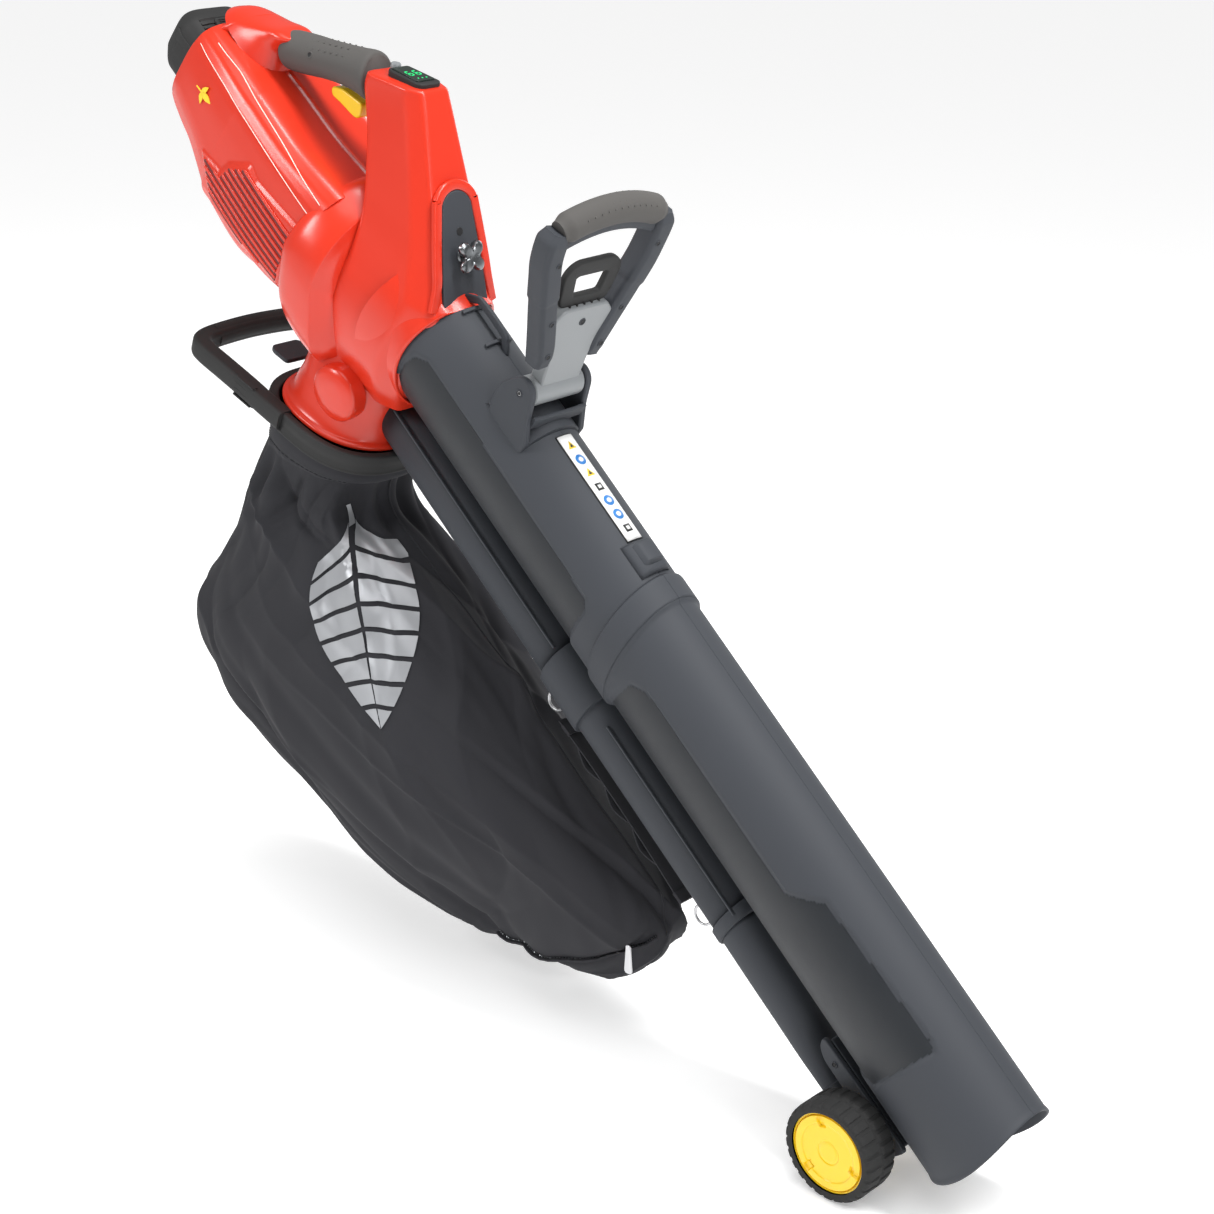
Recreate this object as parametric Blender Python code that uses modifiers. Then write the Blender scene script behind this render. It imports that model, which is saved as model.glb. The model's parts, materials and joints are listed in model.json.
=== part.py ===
"""Cordless wheeled leaf blower and vacuum with a collection bag.

The tool is laid out in its own frame: +X runs along the tubes towards the nozzle, +Y is the tool's left
seen from behind, and +Z points from the blow tube to the handles. An empty tilts that frame into the
walking position, so that the wheels stand on the ground at Z = 0. Lengths are in metres.
"""

import bpy
import bmesh
import math
from mathutils import Matrix, Vector

# ---------------------------------------------------------------- driving dimensions

TOOL_TILT = math.radians(41.5)          # tubes below the horizontal
TOOL_ORIGIN = (0.0444, 0.0, 0.45224)     # where the tool frame's origin lies above the ground
GAP = 0.0003                            # clearance between pieces that touch
SEAM = 0.0005                           # half the gap between two half shells
WALL = 0.0025                           # moulded wall

SUCTION_HALF_WIDTH = 0.053
SUCTION_HALF_HEIGHT = 0.064
SUCTION_Z = 0.016
TUBE_START = -0.326
TUBE_JOINT = 0.055
TUBE_END = 0.600
BLOW_RADIUS = 0.026
BLOW_Z = -0.087
NOZZLE_START = 0.305

FAN_Z = -0.005                          # axis of the motor and the fan
FAN_RADIUS = 0.066
SCROLL_RADIUS = 0.084
SCROLL_START = -0.474
SCROLL_SPLIT = -0.436
SCROLL_END = -0.392

HOUSING_REAR = -0.722
HOUSING_FRONT = -0.4745

BATTERY_SIZE = (0.140, 0.083, 0.072)
BATTERY_REAR = -0.742
BATTERY_Z = -0.014

GRIP_REAR = (-0.626, 0.077)             # main grip centreline, X and Z
GRIP_FRONT = (-0.538, 0.144)
GRIP_RADIUS = 0.019

TONGUE_SLOPE = math.radians(42.5)       # the tower's front face from the tube direction

HINGE = (-0.187, 0.103)                 # front handle hinge, X and Z
HANDLE_LEAN = math.radians(-16.7)
HANDLE_LENGTH = 0.176
HANDLE_TOP_HALF = 0.065
HANDLE_FOOT_HALF = 0.031

WHEEL_X = 0.522
WHEEL_Z = -0.078
WHEEL_RADIUS = 0.048
WHEEL_WIDTH = 0.040
WHEEL_INNER_Y = 0.041

BAG_PLANE = (-0.338, -0.1455)            # centre of the bag's frame, X and Z
BAG_PLANE_TILT = math.radians(20.5)     # the frame's plane from the tube direction
BAG_RING = (0.078, 0.075)               # half length and half width of the frame

RED = (0.62, 0.030, 0.012)
ANTHRACITE = (0.030, 0.036, 0.044)
SOFT_GREY = (0.075, 0.070, 0.068)
BLACK = (0.012, 0.012, 0.013)
YELLOW = (0.85, 0.56, 0.010)
STEEL = (0.55, 0.55, 0.56)
SILVER_GREY = (0.20, 0.21, 0.22)
FABRIC = (0.016, 0.016, 0.018)


# ---------------------------------------------------------------- scene and materials

def clear_scene():
    for obj in list(bpy.data.objects):
        bpy.data.objects.remove(obj, do_unlink=True)


def make_collection(name):
    collection = bpy.data.collections.new(name)
    bpy.context.scene.collection.children.link(collection)
    return collection


def make_material(name, colour, roughness, metallic=0.0):
    material = bpy.data.materials.new(name)
    material.use_nodes = True
    shader = material.node_tree.nodes["Principled BSDF"]
    shader.inputs["Base Color"].default_value = (*colour, 1.0)
    shader.inputs["Roughness"].default_value = roughness
    shader.inputs["Metallic"].default_value = metallic
    return material


clear_scene()
PARTS = make_collection("leaf_blower")
CUTTERS = make_collection("cutters")

FINISH = {
    "red_plastic": make_material("red_plastic", RED, 0.22),
    "tube_plastic": make_material("tube_plastic", ANTHRACITE, 0.38),
    "black_plastic": make_material("black_plastic", BLACK, 0.45),
    "soft_grip": make_material("soft_grip", SOFT_GREY, 0.70),
    "yellow_plastic": make_material("yellow_plastic", YELLOW, 0.30),
    "tyre_rubber": make_material("tyre_rubber", BLACK, 0.75),
    "steel": make_material("steel", STEEL, 0.25, 1.0),
    "grey_plastic": make_material("grey_plastic", SILVER_GREY, 0.35),
    "bag_fabric": make_material("bag_fabric", FABRIC, 0.90),
    "webbing": make_material("webbing", FABRIC, 0.80),
    "display_window": make_material("display_window", (0.01, 0.02, 0.015), 0.08),
    "circuit_board": make_material("circuit_board", (0.02, 0.10, 0.04), 0.50),
    "label_film": make_material("label_film", (0.75, 0.75, 0.74), 0.35),
}


# ---------------------------------------------------------------- modelling helpers

def make_empty(name, location, rotation=(0.0, 0.0, 0.0), parent=None):
    empty = bpy.data.objects.new(name, None)
    empty.empty_display_size = 0.05
    empty.location = location
    empty.rotation_euler = rotation
    empty.parent = parent
    PARTS.objects.link(empty)
    return empty


def make_object(name, mesh, finish, parent, location=(0, 0, 0), rotation=(0, 0, 0), smooth=True):
    obj = bpy.data.objects.new(name, mesh)
    obj.parent = parent
    obj.location = location
    obj.rotation_euler = rotation
    if finish is None:
        CUTTERS.objects.link(obj)
        obj.hide_render = True
        obj.display_type = "WIRE"
    else:
        PARTS.objects.link(obj)
        mesh.materials.append(FINISH[finish])
        if smooth:
            mesh.shade_smooth()
            mesh.set_sharp_from_angle(angle=math.radians(35))
    return obj


def close_mesh(name, bm):
    bmesh.ops.remove_doubles(bm, verts=bm.verts[:], dist=1e-6)
    bmesh.ops.recalc_face_normals(bm, faces=bm.faces[:])
    mesh = bpy.data.meshes.new(name)
    bm.to_mesh(mesh)
    bm.free()
    return mesh


def box(name, size, location, finish, parent, bevel=0.0, segments=2, rotation=(0, 0, 0)):
    bm = bmesh.new()
    bmesh.ops.create_cube(bm, size=1.0)
    bmesh.ops.scale(bm, vec=size, verts=bm.verts[:])
    obj = make_object(name, close_mesh(name, bm), finish, parent, location, rotation)
    if bevel:
        add_bevel(obj, bevel, segments)
    return obj


def add_bevel(obj, width, segments=2, angle=math.radians(30)):
    bevel = obj.modifiers.new("edges", "BEVEL")
    bevel.width = width
    bevel.segments = segments
    bevel.limit_method = "ANGLE"
    bevel.angle_limit = angle


AXIS_TURN = {"X": (0, math.pi / 2, 0), "Y": (-math.pi / 2, 0, 0), "-Y": (math.pi / 2, 0, 0), "Z": (0, 0, 0)}


def cylinder(name, radius, length, location, axis, finish, parent, sides=24, bevel=0.0):
    bm = bmesh.new()
    bmesh.ops.create_cone(
        bm, cap_ends=True, segments=sides, radius1=radius, radius2=radius, depth=length)
    obj = make_object(name, close_mesh(name, bm), finish, parent, location, AXIS_TURN[axis])
    if bevel:
        add_bevel(obj, bevel, 1, math.radians(50))
    return obj


def turned(name, profile, location, axis, finish, parent, steps=32, closed=True):
    """A turned piece: profile holds (radius, height) pairs, down the outer side first."""
    bm = bmesh.new()
    verts = [bm.verts.new((radius, 0.0, height)) for radius, height in profile]
    for first, second in zip(verts, verts[1:]):
        bm.edges.new((first, second))
    if closed:
        bm.edges.new((verts[-1], verts[0]))
    mesh = bpy.data.meshes.new(name)
    bm.to_mesh(mesh)
    bm.free()
    obj = make_object(name, mesh, finish, parent, location, AXIS_TURN[axis])
    screw = obj.modifiers.new("turn", "SCREW")
    screw.steps = steps
    screw.render_steps = steps
    screw.use_merge_vertices = True
    screw.merge_threshold = 0.00001
    return obj


def oval(half_width, half_height, power=2.0, count=28, start=0.0, end=2 * math.pi):
    """Points (y, z) of a superellipse arc; a full turn leaves out the repeated last point."""
    full = abs(end - start - 2 * math.pi) < 1e-6
    steps = count if full else count - 1
    points = []
    for i in range(count):
        angle = start + (end - start) * i / steps
        c = math.cos(angle)
        s = math.sin(angle)
        points.append((half_width * math.copysign(abs(c) ** (2 / power), c),
                       half_height * math.copysign(abs(s) ** (2 / power), s)))
    return points


def loft(name, rings, finish, parent, caps=True, closed=True, thickness=0.0,
         location=(0, 0, 0), rotation=(0, 0, 0)):
    """Skin rings of equal point counts; caps is True, False or "end". Open lofts get a wall."""
    bm = bmesh.new()
    rows = [[bm.verts.new(point) for point in ring] for ring in rings]
    count = len(rows[0])
    for row, following in zip(rows, rows[1:]):
        for i in range(count if closed else count - 1):
            j = (i + 1) % count
            bm.faces.new((row[i], row[j], following[j], following[i]))
    if caps is True:
        bm.faces.new(rows[0])
    if caps:
        bm.faces.new(rows[-1])
    obj = make_object(name, close_mesh(name, bm), finish, parent, location, rotation)
    if thickness:
        wall = obj.modifiers.new("wall", "SOLIDIFY")
        wall.thickness = thickness
        wall.offset = -1.0
    return obj


def tube_ring(x, half_width, half_height, centre_z, slant=0.0, count=28):
    """A ring across X; slant moves its +Z side back by slant times the height."""
    return [(x - slant * z, y, centre_z + z) for y, z in oval(half_width, half_height, 2.0, count)]


def plate(name, outline, thickness, finish, parent, location=(0, 0, 0), rotation=(0, 0, 0),
          bevel=0.0, holes=()):
    """A flat piece in its own XY plane, thickness centred on it."""
    curve = bpy.data.curves.new(name, "CURVE")
    curve.dimensions = "2D"
    curve.fill_mode = "BOTH"
    curve.extrude = thickness / 2
    for loop in (outline, *holes):
        spline = curve.splines.new("POLY")
        spline.points.add(len(loop) - 1)
        spline.use_cyclic_u = True
        for point, (u, v) in zip(spline.points, loop):
            point.co = (u, v, 0.0, 1.0)
    carrier = bpy.data.objects.new(name + "_outline", curve)
    CUTTERS.objects.link(carrier)
    return solid_from_curve(name, carrier, finish, parent, location, rotation, bevel)


def solid_from_curve(name, carrier, finish, parent, location, rotation, bevel=0.0):
    depsgraph = bpy.context.evaluated_depsgraph_get()
    mesh = bpy.data.meshes.new_from_object(carrier.evaluated_get(depsgraph))
    bpy.data.objects.remove(carrier, do_unlink=True)
    bm = bmesh.new()
    bm.from_mesh(mesh)
    bpy.data.meshes.remove(mesh)
    obj = make_object(name, close_mesh(name, bm), finish, parent, location, rotation)
    if bevel:
        add_bevel(obj, bevel, 1, math.radians(60))
    return obj


def rod(name, points, radius, finish, parent, resolution=2, location=(0, 0, 0), rotation=(0, 0, 0),
        cyclic=False):
    """A round bar along points."""
    curve = bpy.data.curves.new(name, "CURVE")
    curve.dimensions = "3D"
    curve.bevel_depth = radius
    curve.bevel_resolution = resolution
    curve.use_fill_caps = True
    spline = curve.splines.new("POLY")
    spline.points.add(len(points) - 1)
    spline.use_cyclic_u = cyclic
    for target, point in zip(spline.points, points):
        target.co = (*point, 1.0)
    carrier = bpy.data.objects.new(name + "_path", curve)
    CUTTERS.objects.link(carrier)
    return solid_from_curve(name, carrier, finish, parent, location, rotation)


def combine(target, tool, operation):
    modifier = target.modifiers.new(operation.lower(), "BOOLEAN")
    modifier.operation = operation
    modifier.solver = "EXACT"
    modifier.object = tool


def cut(target, *cutters):
    for cutter in cutters:
        combine(target, cutter, "DIFFERENCE")


def join(target, *additions):
    for addition in additions:
        combine(target, addition, "UNION")


def arc(centre, radius, start, end, count):
    """Points of an arc in degrees, both ends included."""
    points = []
    for i in range(count):
        angle = math.radians(start + (end - start) * i / (count - 1))
        points.append((centre[0] + radius * math.cos(angle), centre[1] + radius * math.sin(angle)))
    return points


# ---------------------------------------------------------------- motor housing

def housing_section(x, half_width, top, bottom, start, end):
    """Half of a rounded-square section whose underside may be deeper than its top."""
    centre = FAN_Z
    points = []
    for y, z in oval(half_width, 1.0, 2.7, 15, start, end):
        reach = top - centre if z > 0 else centre - bottom
        points.append((x, y, centre + z * reach))
    return points


def make_motor_housing():
    sections = [
        (HOUSING_REAR + 0.012, 0.050, 0.042, -0.060),
        (-0.690, 0.056, 0.047, -0.064),
        (-0.640, 0.064, 0.053, -0.074),
        (-0.590, 0.068, 0.056, -0.104),
        (-0.530, 0.070, 0.058, -0.104),
        (HOUSING_FRONT, 0.070, 0.066, -0.080),
    ]
    lean = 0.0035
    for side, start, end in (("left", -math.pi / 2 + lean, math.pi / 2 - lean),
                             ("right", math.pi / 2 + lean, 3 * math.pi / 2 - lean)):
        rings = [housing_section(*section, start, end) for section in sections]
        loft("motor_housing_" + side, rings, "red_plastic", TOOL, caps=False, closed=False, thickness=WALL)


def make_rear_rim():
    outer = [(HOUSING_REAR - 0.002, *p) for p in oval(0.0490, 0.0465, 2.7, 28)]
    inner = [(HOUSING_REAR + 0.0115, *p) for p in oval(0.0505, 0.0485, 2.7, 28)]
    rings = [[(x, y, z + BATTERY_Z) for x, y, z in ring] for ring in (outer, inner)]
    loft("rear_rim", rings, "red_plastic", TOOL, caps=False, thickness=0.004)


def make_battery():
    length, width, height = BATTERY_SIZE
    pack = box("battery_pack", BATTERY_SIZE, (BATTERY_REAR + length / 2, 0, BATTERY_Z), "black_plastic",
               TOOL, 0.018)
    button_size = (0.016, 0.030, 0.008)
    button_x = BATTERY_REAR + 0.031
    top = BATTERY_Z + height / 2
    well = box("release_well", (button_size[0] + 2 * GAP, button_size[1] + 2 * GAP, 0.020),
               (button_x, 0, top + 0.002), None, TOOL)
    cut(pack, well)
    box("battery_release", button_size, (button_x, 0, top - 0.0005), "black_plastic", TOOL, 0.0015)
    tray_x = BATTERY_REAR + length + 0.004
    tray = box("battery_terminal", (0.006, 0.070, 0.060), (tray_x, 0, BATTERY_Z), "black_plastic", TOOL,
               0.001)
    for i in range(3):
        blade = box("blade_slot", (0.010, 0.004, 0.022), (tray_x, -0.018 + 0.018 * i, BATTERY_Z), None, TOOL)
        cut(tray, blade)


def make_motor():
    can_length = 0.062
    can_x = -0.535
    cylinder("motor_can", 0.030, can_length, (can_x, 0, FAN_Z), "X", "steel", TOOL, 28, 0.002)
    shaft_start = can_x + can_length / 2 + GAP
    shaft_end = SCROLL_END - 0.010
    shaft_length = shaft_end - shaft_start
    cylinder("motor_shaft", 0.004, shaft_length, ((shaft_start + shaft_end) / 2, 0, FAN_Z), "X",
             "steel", TOOL, 16)
    turned("motor_bearing", [(0.011, 0.0035), (0.011, -0.0035), (0.0043, -0.0035), (0.0043, 0.0035)],
           (shaft_start + 0.0045, 0, FAN_Z), "X", "steel", TOOL, 24)
    turned("motor_mount", [(0.060, 0.003), (0.060, -0.003), (0.0113, -0.003), (0.0113, 0.003)],
           (shaft_start + 0.0045, 0, FAN_Z), "X", "black_plastic", TOOL, 28)


def make_impeller():
    blades = 7
    disc_x = -0.466
    hub = turned("impeller", [(0.012, 0.050), (0.013, 0.006), (FAN_RADIUS, 0.003), (FAN_RADIUS, 0.0),
                              (0.0043, 0.0), (0.0043, 0.050)],
                 (disc_x, 0, FAN_Z), "X", "black_plastic", TOOL, 28)
    for i in range(blades):
        turn = 2 * math.pi * i / blades
        blade = box("impeller_blade_%d" % i, (0.030, 0.054, 0.003),
                    (disc_x + 0.0165, 0.036 * math.cos(turn), FAN_Z + 0.036 * math.sin(turn)),
                    None, TOOL, rotation=(turn + 0.35, 0, 0))
        join(hub, blade)


# ---------------------------------------------------------------- fan scroll and outlet

def scroll_front_rings(extra=0.0):
    sections = [
        (SCROLL_SPLIT + SEAM, SCROLL_RADIUS, SCROLL_RADIUS, FAN_Z, 0.0),
        (SCROLL_END, SCROLL_RADIUS - 0.002, SCROLL_RADIUS + 0.002, FAN_Z, 0.04),
        (-0.362, 0.066, 0.078, 0.010, 0.12),
        (-0.318, 0.060, 0.071, SUCTION_Z, 0.20),
    ]
    return [tube_ring(x, half_width + extra, half_height + extra, z, slant, count=36)
            for x, half_width, half_height, z, slant in sections]


def make_scroll():
    rear_disc = [(SCROLL_RADIUS - 0.012, SCROLL_START), (SCROLL_RADIUS - 0.004, SCROLL_START + 0.012),
                 (SCROLL_RADIUS, SCROLL_SPLIT - SEAM)]
    rings = [[(x, y, z + FAN_Z) for y, z in oval(radius, radius, 2.0, 36)] for radius, x in rear_disc]
    rear = loft("scroll_rear", rings, "red_plastic", TOOL, caps=False, thickness=WALL)
    back = turned("scroll_back_wall", [(SCROLL_RADIUS - 0.010, 0.00125), (SCROLL_RADIUS - 0.010, -0.00125),
                                       (0.0080, -0.00125), (0.0080, 0.00125)],
                  (SCROLL_START + 0.0045, 0, FAN_Z), "X", None, TOOL, 36)
    join(rear, back)
    rings = scroll_front_rings()
    front = loft("scroll_front", rings, "red_plastic", TOOL, caps=False, thickness=WALL)
    outlet_hole = cylinder("outlet_hole", 0.040, 0.070, (-0.400, 0, -0.105), "Z", None, TOOL, 28)
    blow_hole = cylinder("blow_hole", BLOW_RADIUS + 0.0006, 0.090, (-0.310, 0, BLOW_Z), "X", None, TOOL, 28)
    cut(front, outlet_hole, blow_hole)


def make_outlet():
    """The elbow from the scroll's floor down to the bag's frame."""
    top = [(-0.400 + y, z * 0.92, -0.0985) for y, z in oval(0.046, 0.050, 2.2, 28)]
    plane = Matrix.Rotation(-BAG_PLANE_TILT, 4, "Y")
    floor = []
    for u, v in oval(0.060, 0.056, 2.2, 28):
        point = Vector((BAG_PLANE[0], 0, BAG_PLANE[1])) + plane @ Vector((u, v, 0.011))
        floor.append(tuple(point))
    middle = [tuple((Vector(a) * 0.45 + Vector(b) * 0.55)) for a, b in zip(top, floor)]
    elbow = loft("outlet_elbow", [top, middle, floor], "red_plastic", TOOL, caps=False, thickness=WALL)
    blow_room = cylinder("elbow_blow_room", BLOW_RADIUS + 2 * GAP, 0.100, (-0.260, 0, BLOW_Z), "X",
                         None, TOOL, 28)
    cut(elbow, blow_room)


# ---------------------------------------------------------------- handle bow, grip and controls

def bow_section(front, rear, half_width, sign, power=3.4, count=11):
    """Half of a rounded section between a front and a rear point of the X-Z plane."""
    front = Vector(front)
    rear = Vector(rear)
    middle = (front + rear) / 2
    reach = (front - rear).length / 2
    along = (front - rear).normalized()
    return [(middle.x + along.x * u, sign * (v + SEAM), middle.y + along.y * u)
            for u, v in oval(reach, half_width, power, count, 0.0, math.pi)]


def make_tower():
    sections = [  # front point, rear point (X, Z) and half width
        ((-0.331, 0.0875), (-0.4350, 0.0625), 0.046),
        ((-0.352, 0.107), (-0.452, 0.082), 0.041),
        ((-0.400, 0.147), (-0.480, 0.110), 0.033),
        ((-0.446, 0.184), (-0.508, 0.134), 0.025),
        ((-0.464, 0.196), (-0.525, 0.163), 0.022),
    ]
    front_core = loft("scroll_front_core", scroll_front_rings(GAP), None, TOOL)
    rear_core = cylinder("scroll_rear_core", SCROLL_RADIUS + GAP, 0.060,
                         (SCROLL_SPLIT - 0.029, 0, FAN_Z), "X",
                         None, TOOL, 36)
    stud_room = cylinder("stud_room", 0.0042, 0.040, (-0.346, 0, 0.0995), "Z", None, TOOL, 16)
    stud_room.rotation_euler = (0, TONGUE_SLOPE, 0)
    for side, sign in (("left", 1.0), ("right", -1.0)):
        rings = [bow_section(*section, sign) for section in sections]
        half = loft("tower_" + side, rings, "red_plastic", TOOL, caps=False, closed=False, thickness=WALL)
        cut(half, front_core, rear_core, stud_room)


def make_rear_riser():
    sections = [
        ((-0.622, 0.0570), (-0.700, 0.0535), 0.030),
        ((-0.628, 0.064), (-0.694, 0.062), 0.028),
        ((-0.6345, 0.0725), (-0.674, 0.080), 0.024),
        ((-0.6305, 0.0815), (-0.648, 0.094), 0.019),
    ]
    rings = [bow_section(*section, 1.0) + bow_section(*section, -1.0)[::-1] for section in sections]
    loft("rear_riser", rings, "red_plastic", TOOL)


def make_main_grip():
    rear = Vector((GRIP_REAR[0], 0, GRIP_REAR[1]))
    front = Vector((GRIP_FRONT[0], 0, GRIP_FRONT[1]))
    along = (front - rear).normalized()
    middle = (rear + front) / 2 + Vector((-0.003, 0, 0.003))
    path = [tuple(rear), tuple(middle), tuple(front)]
    rod("grip_core", path, GRIP_RADIUS - 0.005, "red_plastic", TOOL, 4)
    length = (front - rear).length - 0.006
    sleeve = cylinder("soft_grip", GRIP_RADIUS, length, (0, 0, 0), "Z", "soft_grip", TOOL, 24, 0.003)
    sleeve.location = (rear + front) / 2
    sleeve.rotation_euler = along.to_track_quat("Z", "Y").to_euler()
    bore = rod("grip_bore", path, GRIP_RADIUS - 0.005 + GAP, None, TOOL, 4)
    cut(sleeve, bore)


def make_trigger():
    """A finger trigger hanging from a hinge at its rear end."""
    outline = [(0.000, 0.003), (0.012, 0.003), (0.042, -0.007), (0.038, -0.020), (0.030, -0.020),
               (0.016, -0.011), (0.000, -0.005)]
    slope = math.atan2(GRIP_FRONT[1] - GRIP_REAR[1], GRIP_FRONT[0] - GRIP_REAR[0])
    TRIGGER_FRAME.rotation_euler = (0, -slope, 0)
    plate("trigger", outline, 0.016, "yellow_plastic", TRIGGER_FRAME,
          rotation=(math.pi / 2, 0, 0), bevel=0.002)


def make_controls():
    top_slope = math.atan2(0.196 - 0.163, 0.525 - 0.464)
    panel = make_empty("panel_frame", (-0.4945, 0, 0.1802), (0, -top_slope, 0), TOOL)
    bezel = box("display_bezel", (0.060, 0.038, 0.004), (0.002, 0, 0.0025), "black_plastic", panel, 0.0015)
    recess = box("bezel_recess", (0.036, 0.022, 0.004), (0.004, 0, 0.0035), None, panel)
    button_well = cylinder("button_well", 0.0053, 0.020, (-0.0215, 0, 0), "Z", None, panel, 20)
    cut(bezel, recess, button_well)
    box("display_window", (0.0354, 0.0214, 0.002), (0.004, 0, 0.0028), "display_window", panel, 0.0004, 1)
    cylinder("speed_button", 0.0050, 0.0085, (-0.0215, 0, 0.0032), "Z", "black_plastic", panel, 20, 0.0006)
    box("circuit_board", (0.050, 0.032, 0.0016), (0.000, 0, -0.006), "circuit_board", panel)


# ---------------------------------------------------------------- tubes

def make_suction_tubes():
    slant = 0.25
    upper = [tube_ring(x, SUCTION_HALF_WIDTH, SUCTION_HALF_HEIGHT, SUCTION_Z, s, count=36)
             for x, s in ((TUBE_START, 0.20), (-0.20, 0.10), (-0.08, 0.2), (TUBE_JOINT, slant))]
    loft("suction_tube_upper", upper, "tube_plastic", TOOL, caps=False, thickness=WALL)
    step = 0.0030
    lower = [tube_ring(TUBE_JOINT - 0.022, SUCTION_HALF_WIDTH + step, SUCTION_HALF_HEIGHT + step, SUCTION_Z,
                       slant, count=36),
             tube_ring(TUBE_JOINT + 0.006, SUCTION_HALF_WIDTH + step, SUCTION_HALF_HEIGHT + step, SUCTION_Z,
                       slant, count=36),
             tube_ring(TUBE_JOINT + 0.010, SUCTION_HALF_WIDTH, SUCTION_HALF_HEIGHT, SUCTION_Z, slant,
                       count=36),
             tube_ring(TUBE_END - 0.10, SUCTION_HALF_WIDTH, SUCTION_HALF_HEIGHT, SUCTION_Z, 0.02, count=36),
             [(TUBE_END - 0.012 + 0.014 * (y / SUCTION_HALF_WIDTH) ** 2 + 0.06 * (z - SUCTION_Z), y, z)
              for x, y, z in tube_ring(0, SUCTION_HALF_WIDTH, SUCTION_HALF_HEIGHT, SUCTION_Z, count=36)]]
    loft("suction_tube_lower", lower, "tube_plastic", TOOL, caps=False, thickness=WALL)


def make_blow_tubes():
    upper = [tube_ring(x, BLOW_RADIUS, BLOW_RADIUS, BLOW_Z, 0.0) for x in (-0.302, 0.045)]
    loft("blow_tube_upper", upper, "tube_plastic", TOOL, caps=False, thickness=WALL)
    collar = BLOW_RADIUS + WALL + 0.0025
    lower = [tube_ring(0.010, collar, collar - 0.001, BLOW_Z - 0.001, 0.15),
             tube_ring(0.064, collar, collar - 0.001, BLOW_Z - 0.001, 0.15),
             tube_ring(0.070, BLOW_RADIUS, BLOW_RADIUS - 0.001, BLOW_Z, 0.15),
             tube_ring(NOZZLE_START - GAP, BLOW_RADIUS, BLOW_RADIUS - 0.001, BLOW_Z, 0.2)]
    loft("blow_tube_lower", lower, "tube_plastic", TOOL, caps=False, thickness=WALL)
    nozzle = [tube_ring(NOZZLE_START, BLOW_RADIUS, BLOW_RADIUS - 0.001, BLOW_Z, 0.2),
              tube_ring(0.400, 0.025, 0.023, BLOW_Z - 0.002, 0.15),
              tube_ring(0.440, 0.026, 0.018, BLOW_Z - 0.004, 0.1),
              tube_ring(0.482, 0.029, 0.013, BLOW_Z - 0.002, 0.0)]
    loft("blow_nozzle", nozzle, "tube_plastic", TOOL, caps=False, thickness=0.002)


def make_tube_webs():
    """Ribs that tie the blow tube under the suction tube."""
    height = SUCTION_Z - SUCTION_HALF_HEIGHT - (BLOW_Z + BLOW_RADIUS)
    middle = BLOW_Z + BLOW_RADIUS + height / 2
    for name, start, end, thin in (("tube_web_upper", -0.285, -0.006, 0.0),
                                   ("tube_web_lower", 0.105, 0.300, 0.001)):
        box(name, (end - start, 0.008, height - 0.0016 - thin), ((start + end) / 2, 0, middle),
            "tube_plastic", TOOL)


def make_tongue_and_knob():
    tongue_frame = make_empty("tongue_frame", (-0.352, 0, 0.110), (0, TONGUE_SLOPE - math.pi, 0), TOOL)
    outline = [(-0.030, -0.022), (-0.030, 0.022), (0.024, 0.0165), *arc((0.030, 0.0), 0.0165, 80, -80, 9),
               (0.024, -0.0165)]
    plate("tube_tongue", outline, 0.004, "tube_plastic", tongue_frame, (0, 0, -0.0028))
    knob_x = -0.012
    bore = cylinder("stud_bore", 0.0035, 0.02, (knob_x, 0, -0.004), "Z", None, tongue_frame, 16)
    cut(bpy.data.objects["tube_tongue"], bore)
    knob_frame = make_empty("knob_frame", (knob_x, 0, -0.0055), (math.pi, 0, 0), tongue_frame)
    hub = cylinder("star_knob", 0.011, 0.016, (0, 0, 0.0085), "Z", "black_plastic", knob_frame, 24, 0.001)
    for i in range(4):
        angle = math.pi / 4 + i * math.pi / 2
        lobe = cylinder("lobe_%d" % i, 0.0065, 0.012, (0.0135 * math.cos(angle),
                                                       0.0135 * math.sin(angle), 0.0105),
                        "Z", None, knob_frame, 16)
        join(hub, lobe)
    stud = cylinder("knob_stud", 0.0032, 0.0180, (0, 0, -0.0050), "Z", None, knob_frame, 12)
    join(hub, stud)


def make_tube_fittings():
    top = SUCTION_Z + SUCTION_HALF_HEIGHT
    plate("strap_rib", [(-0.034, 0.0), (0.030, 0.0), (0.024, 0.012), (-0.022, 0.012)], 0.006,
          "tube_plastic", TOOL, (-0.275, 0, top + GAP), (math.pi / 2, 0, 0), 0.001)
    box("collar_latch", (0.032, 0.030, 0.008), (-0.003, 0, top + 0.0046), "tube_plastic", TOOL, 0.002)
    box("label_plate", (0.124, 0.018, 0.0006), (-0.084, 0, top + 0.0007), "label_film", TOOL)


# ---------------------------------------------------------------- front handle

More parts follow.
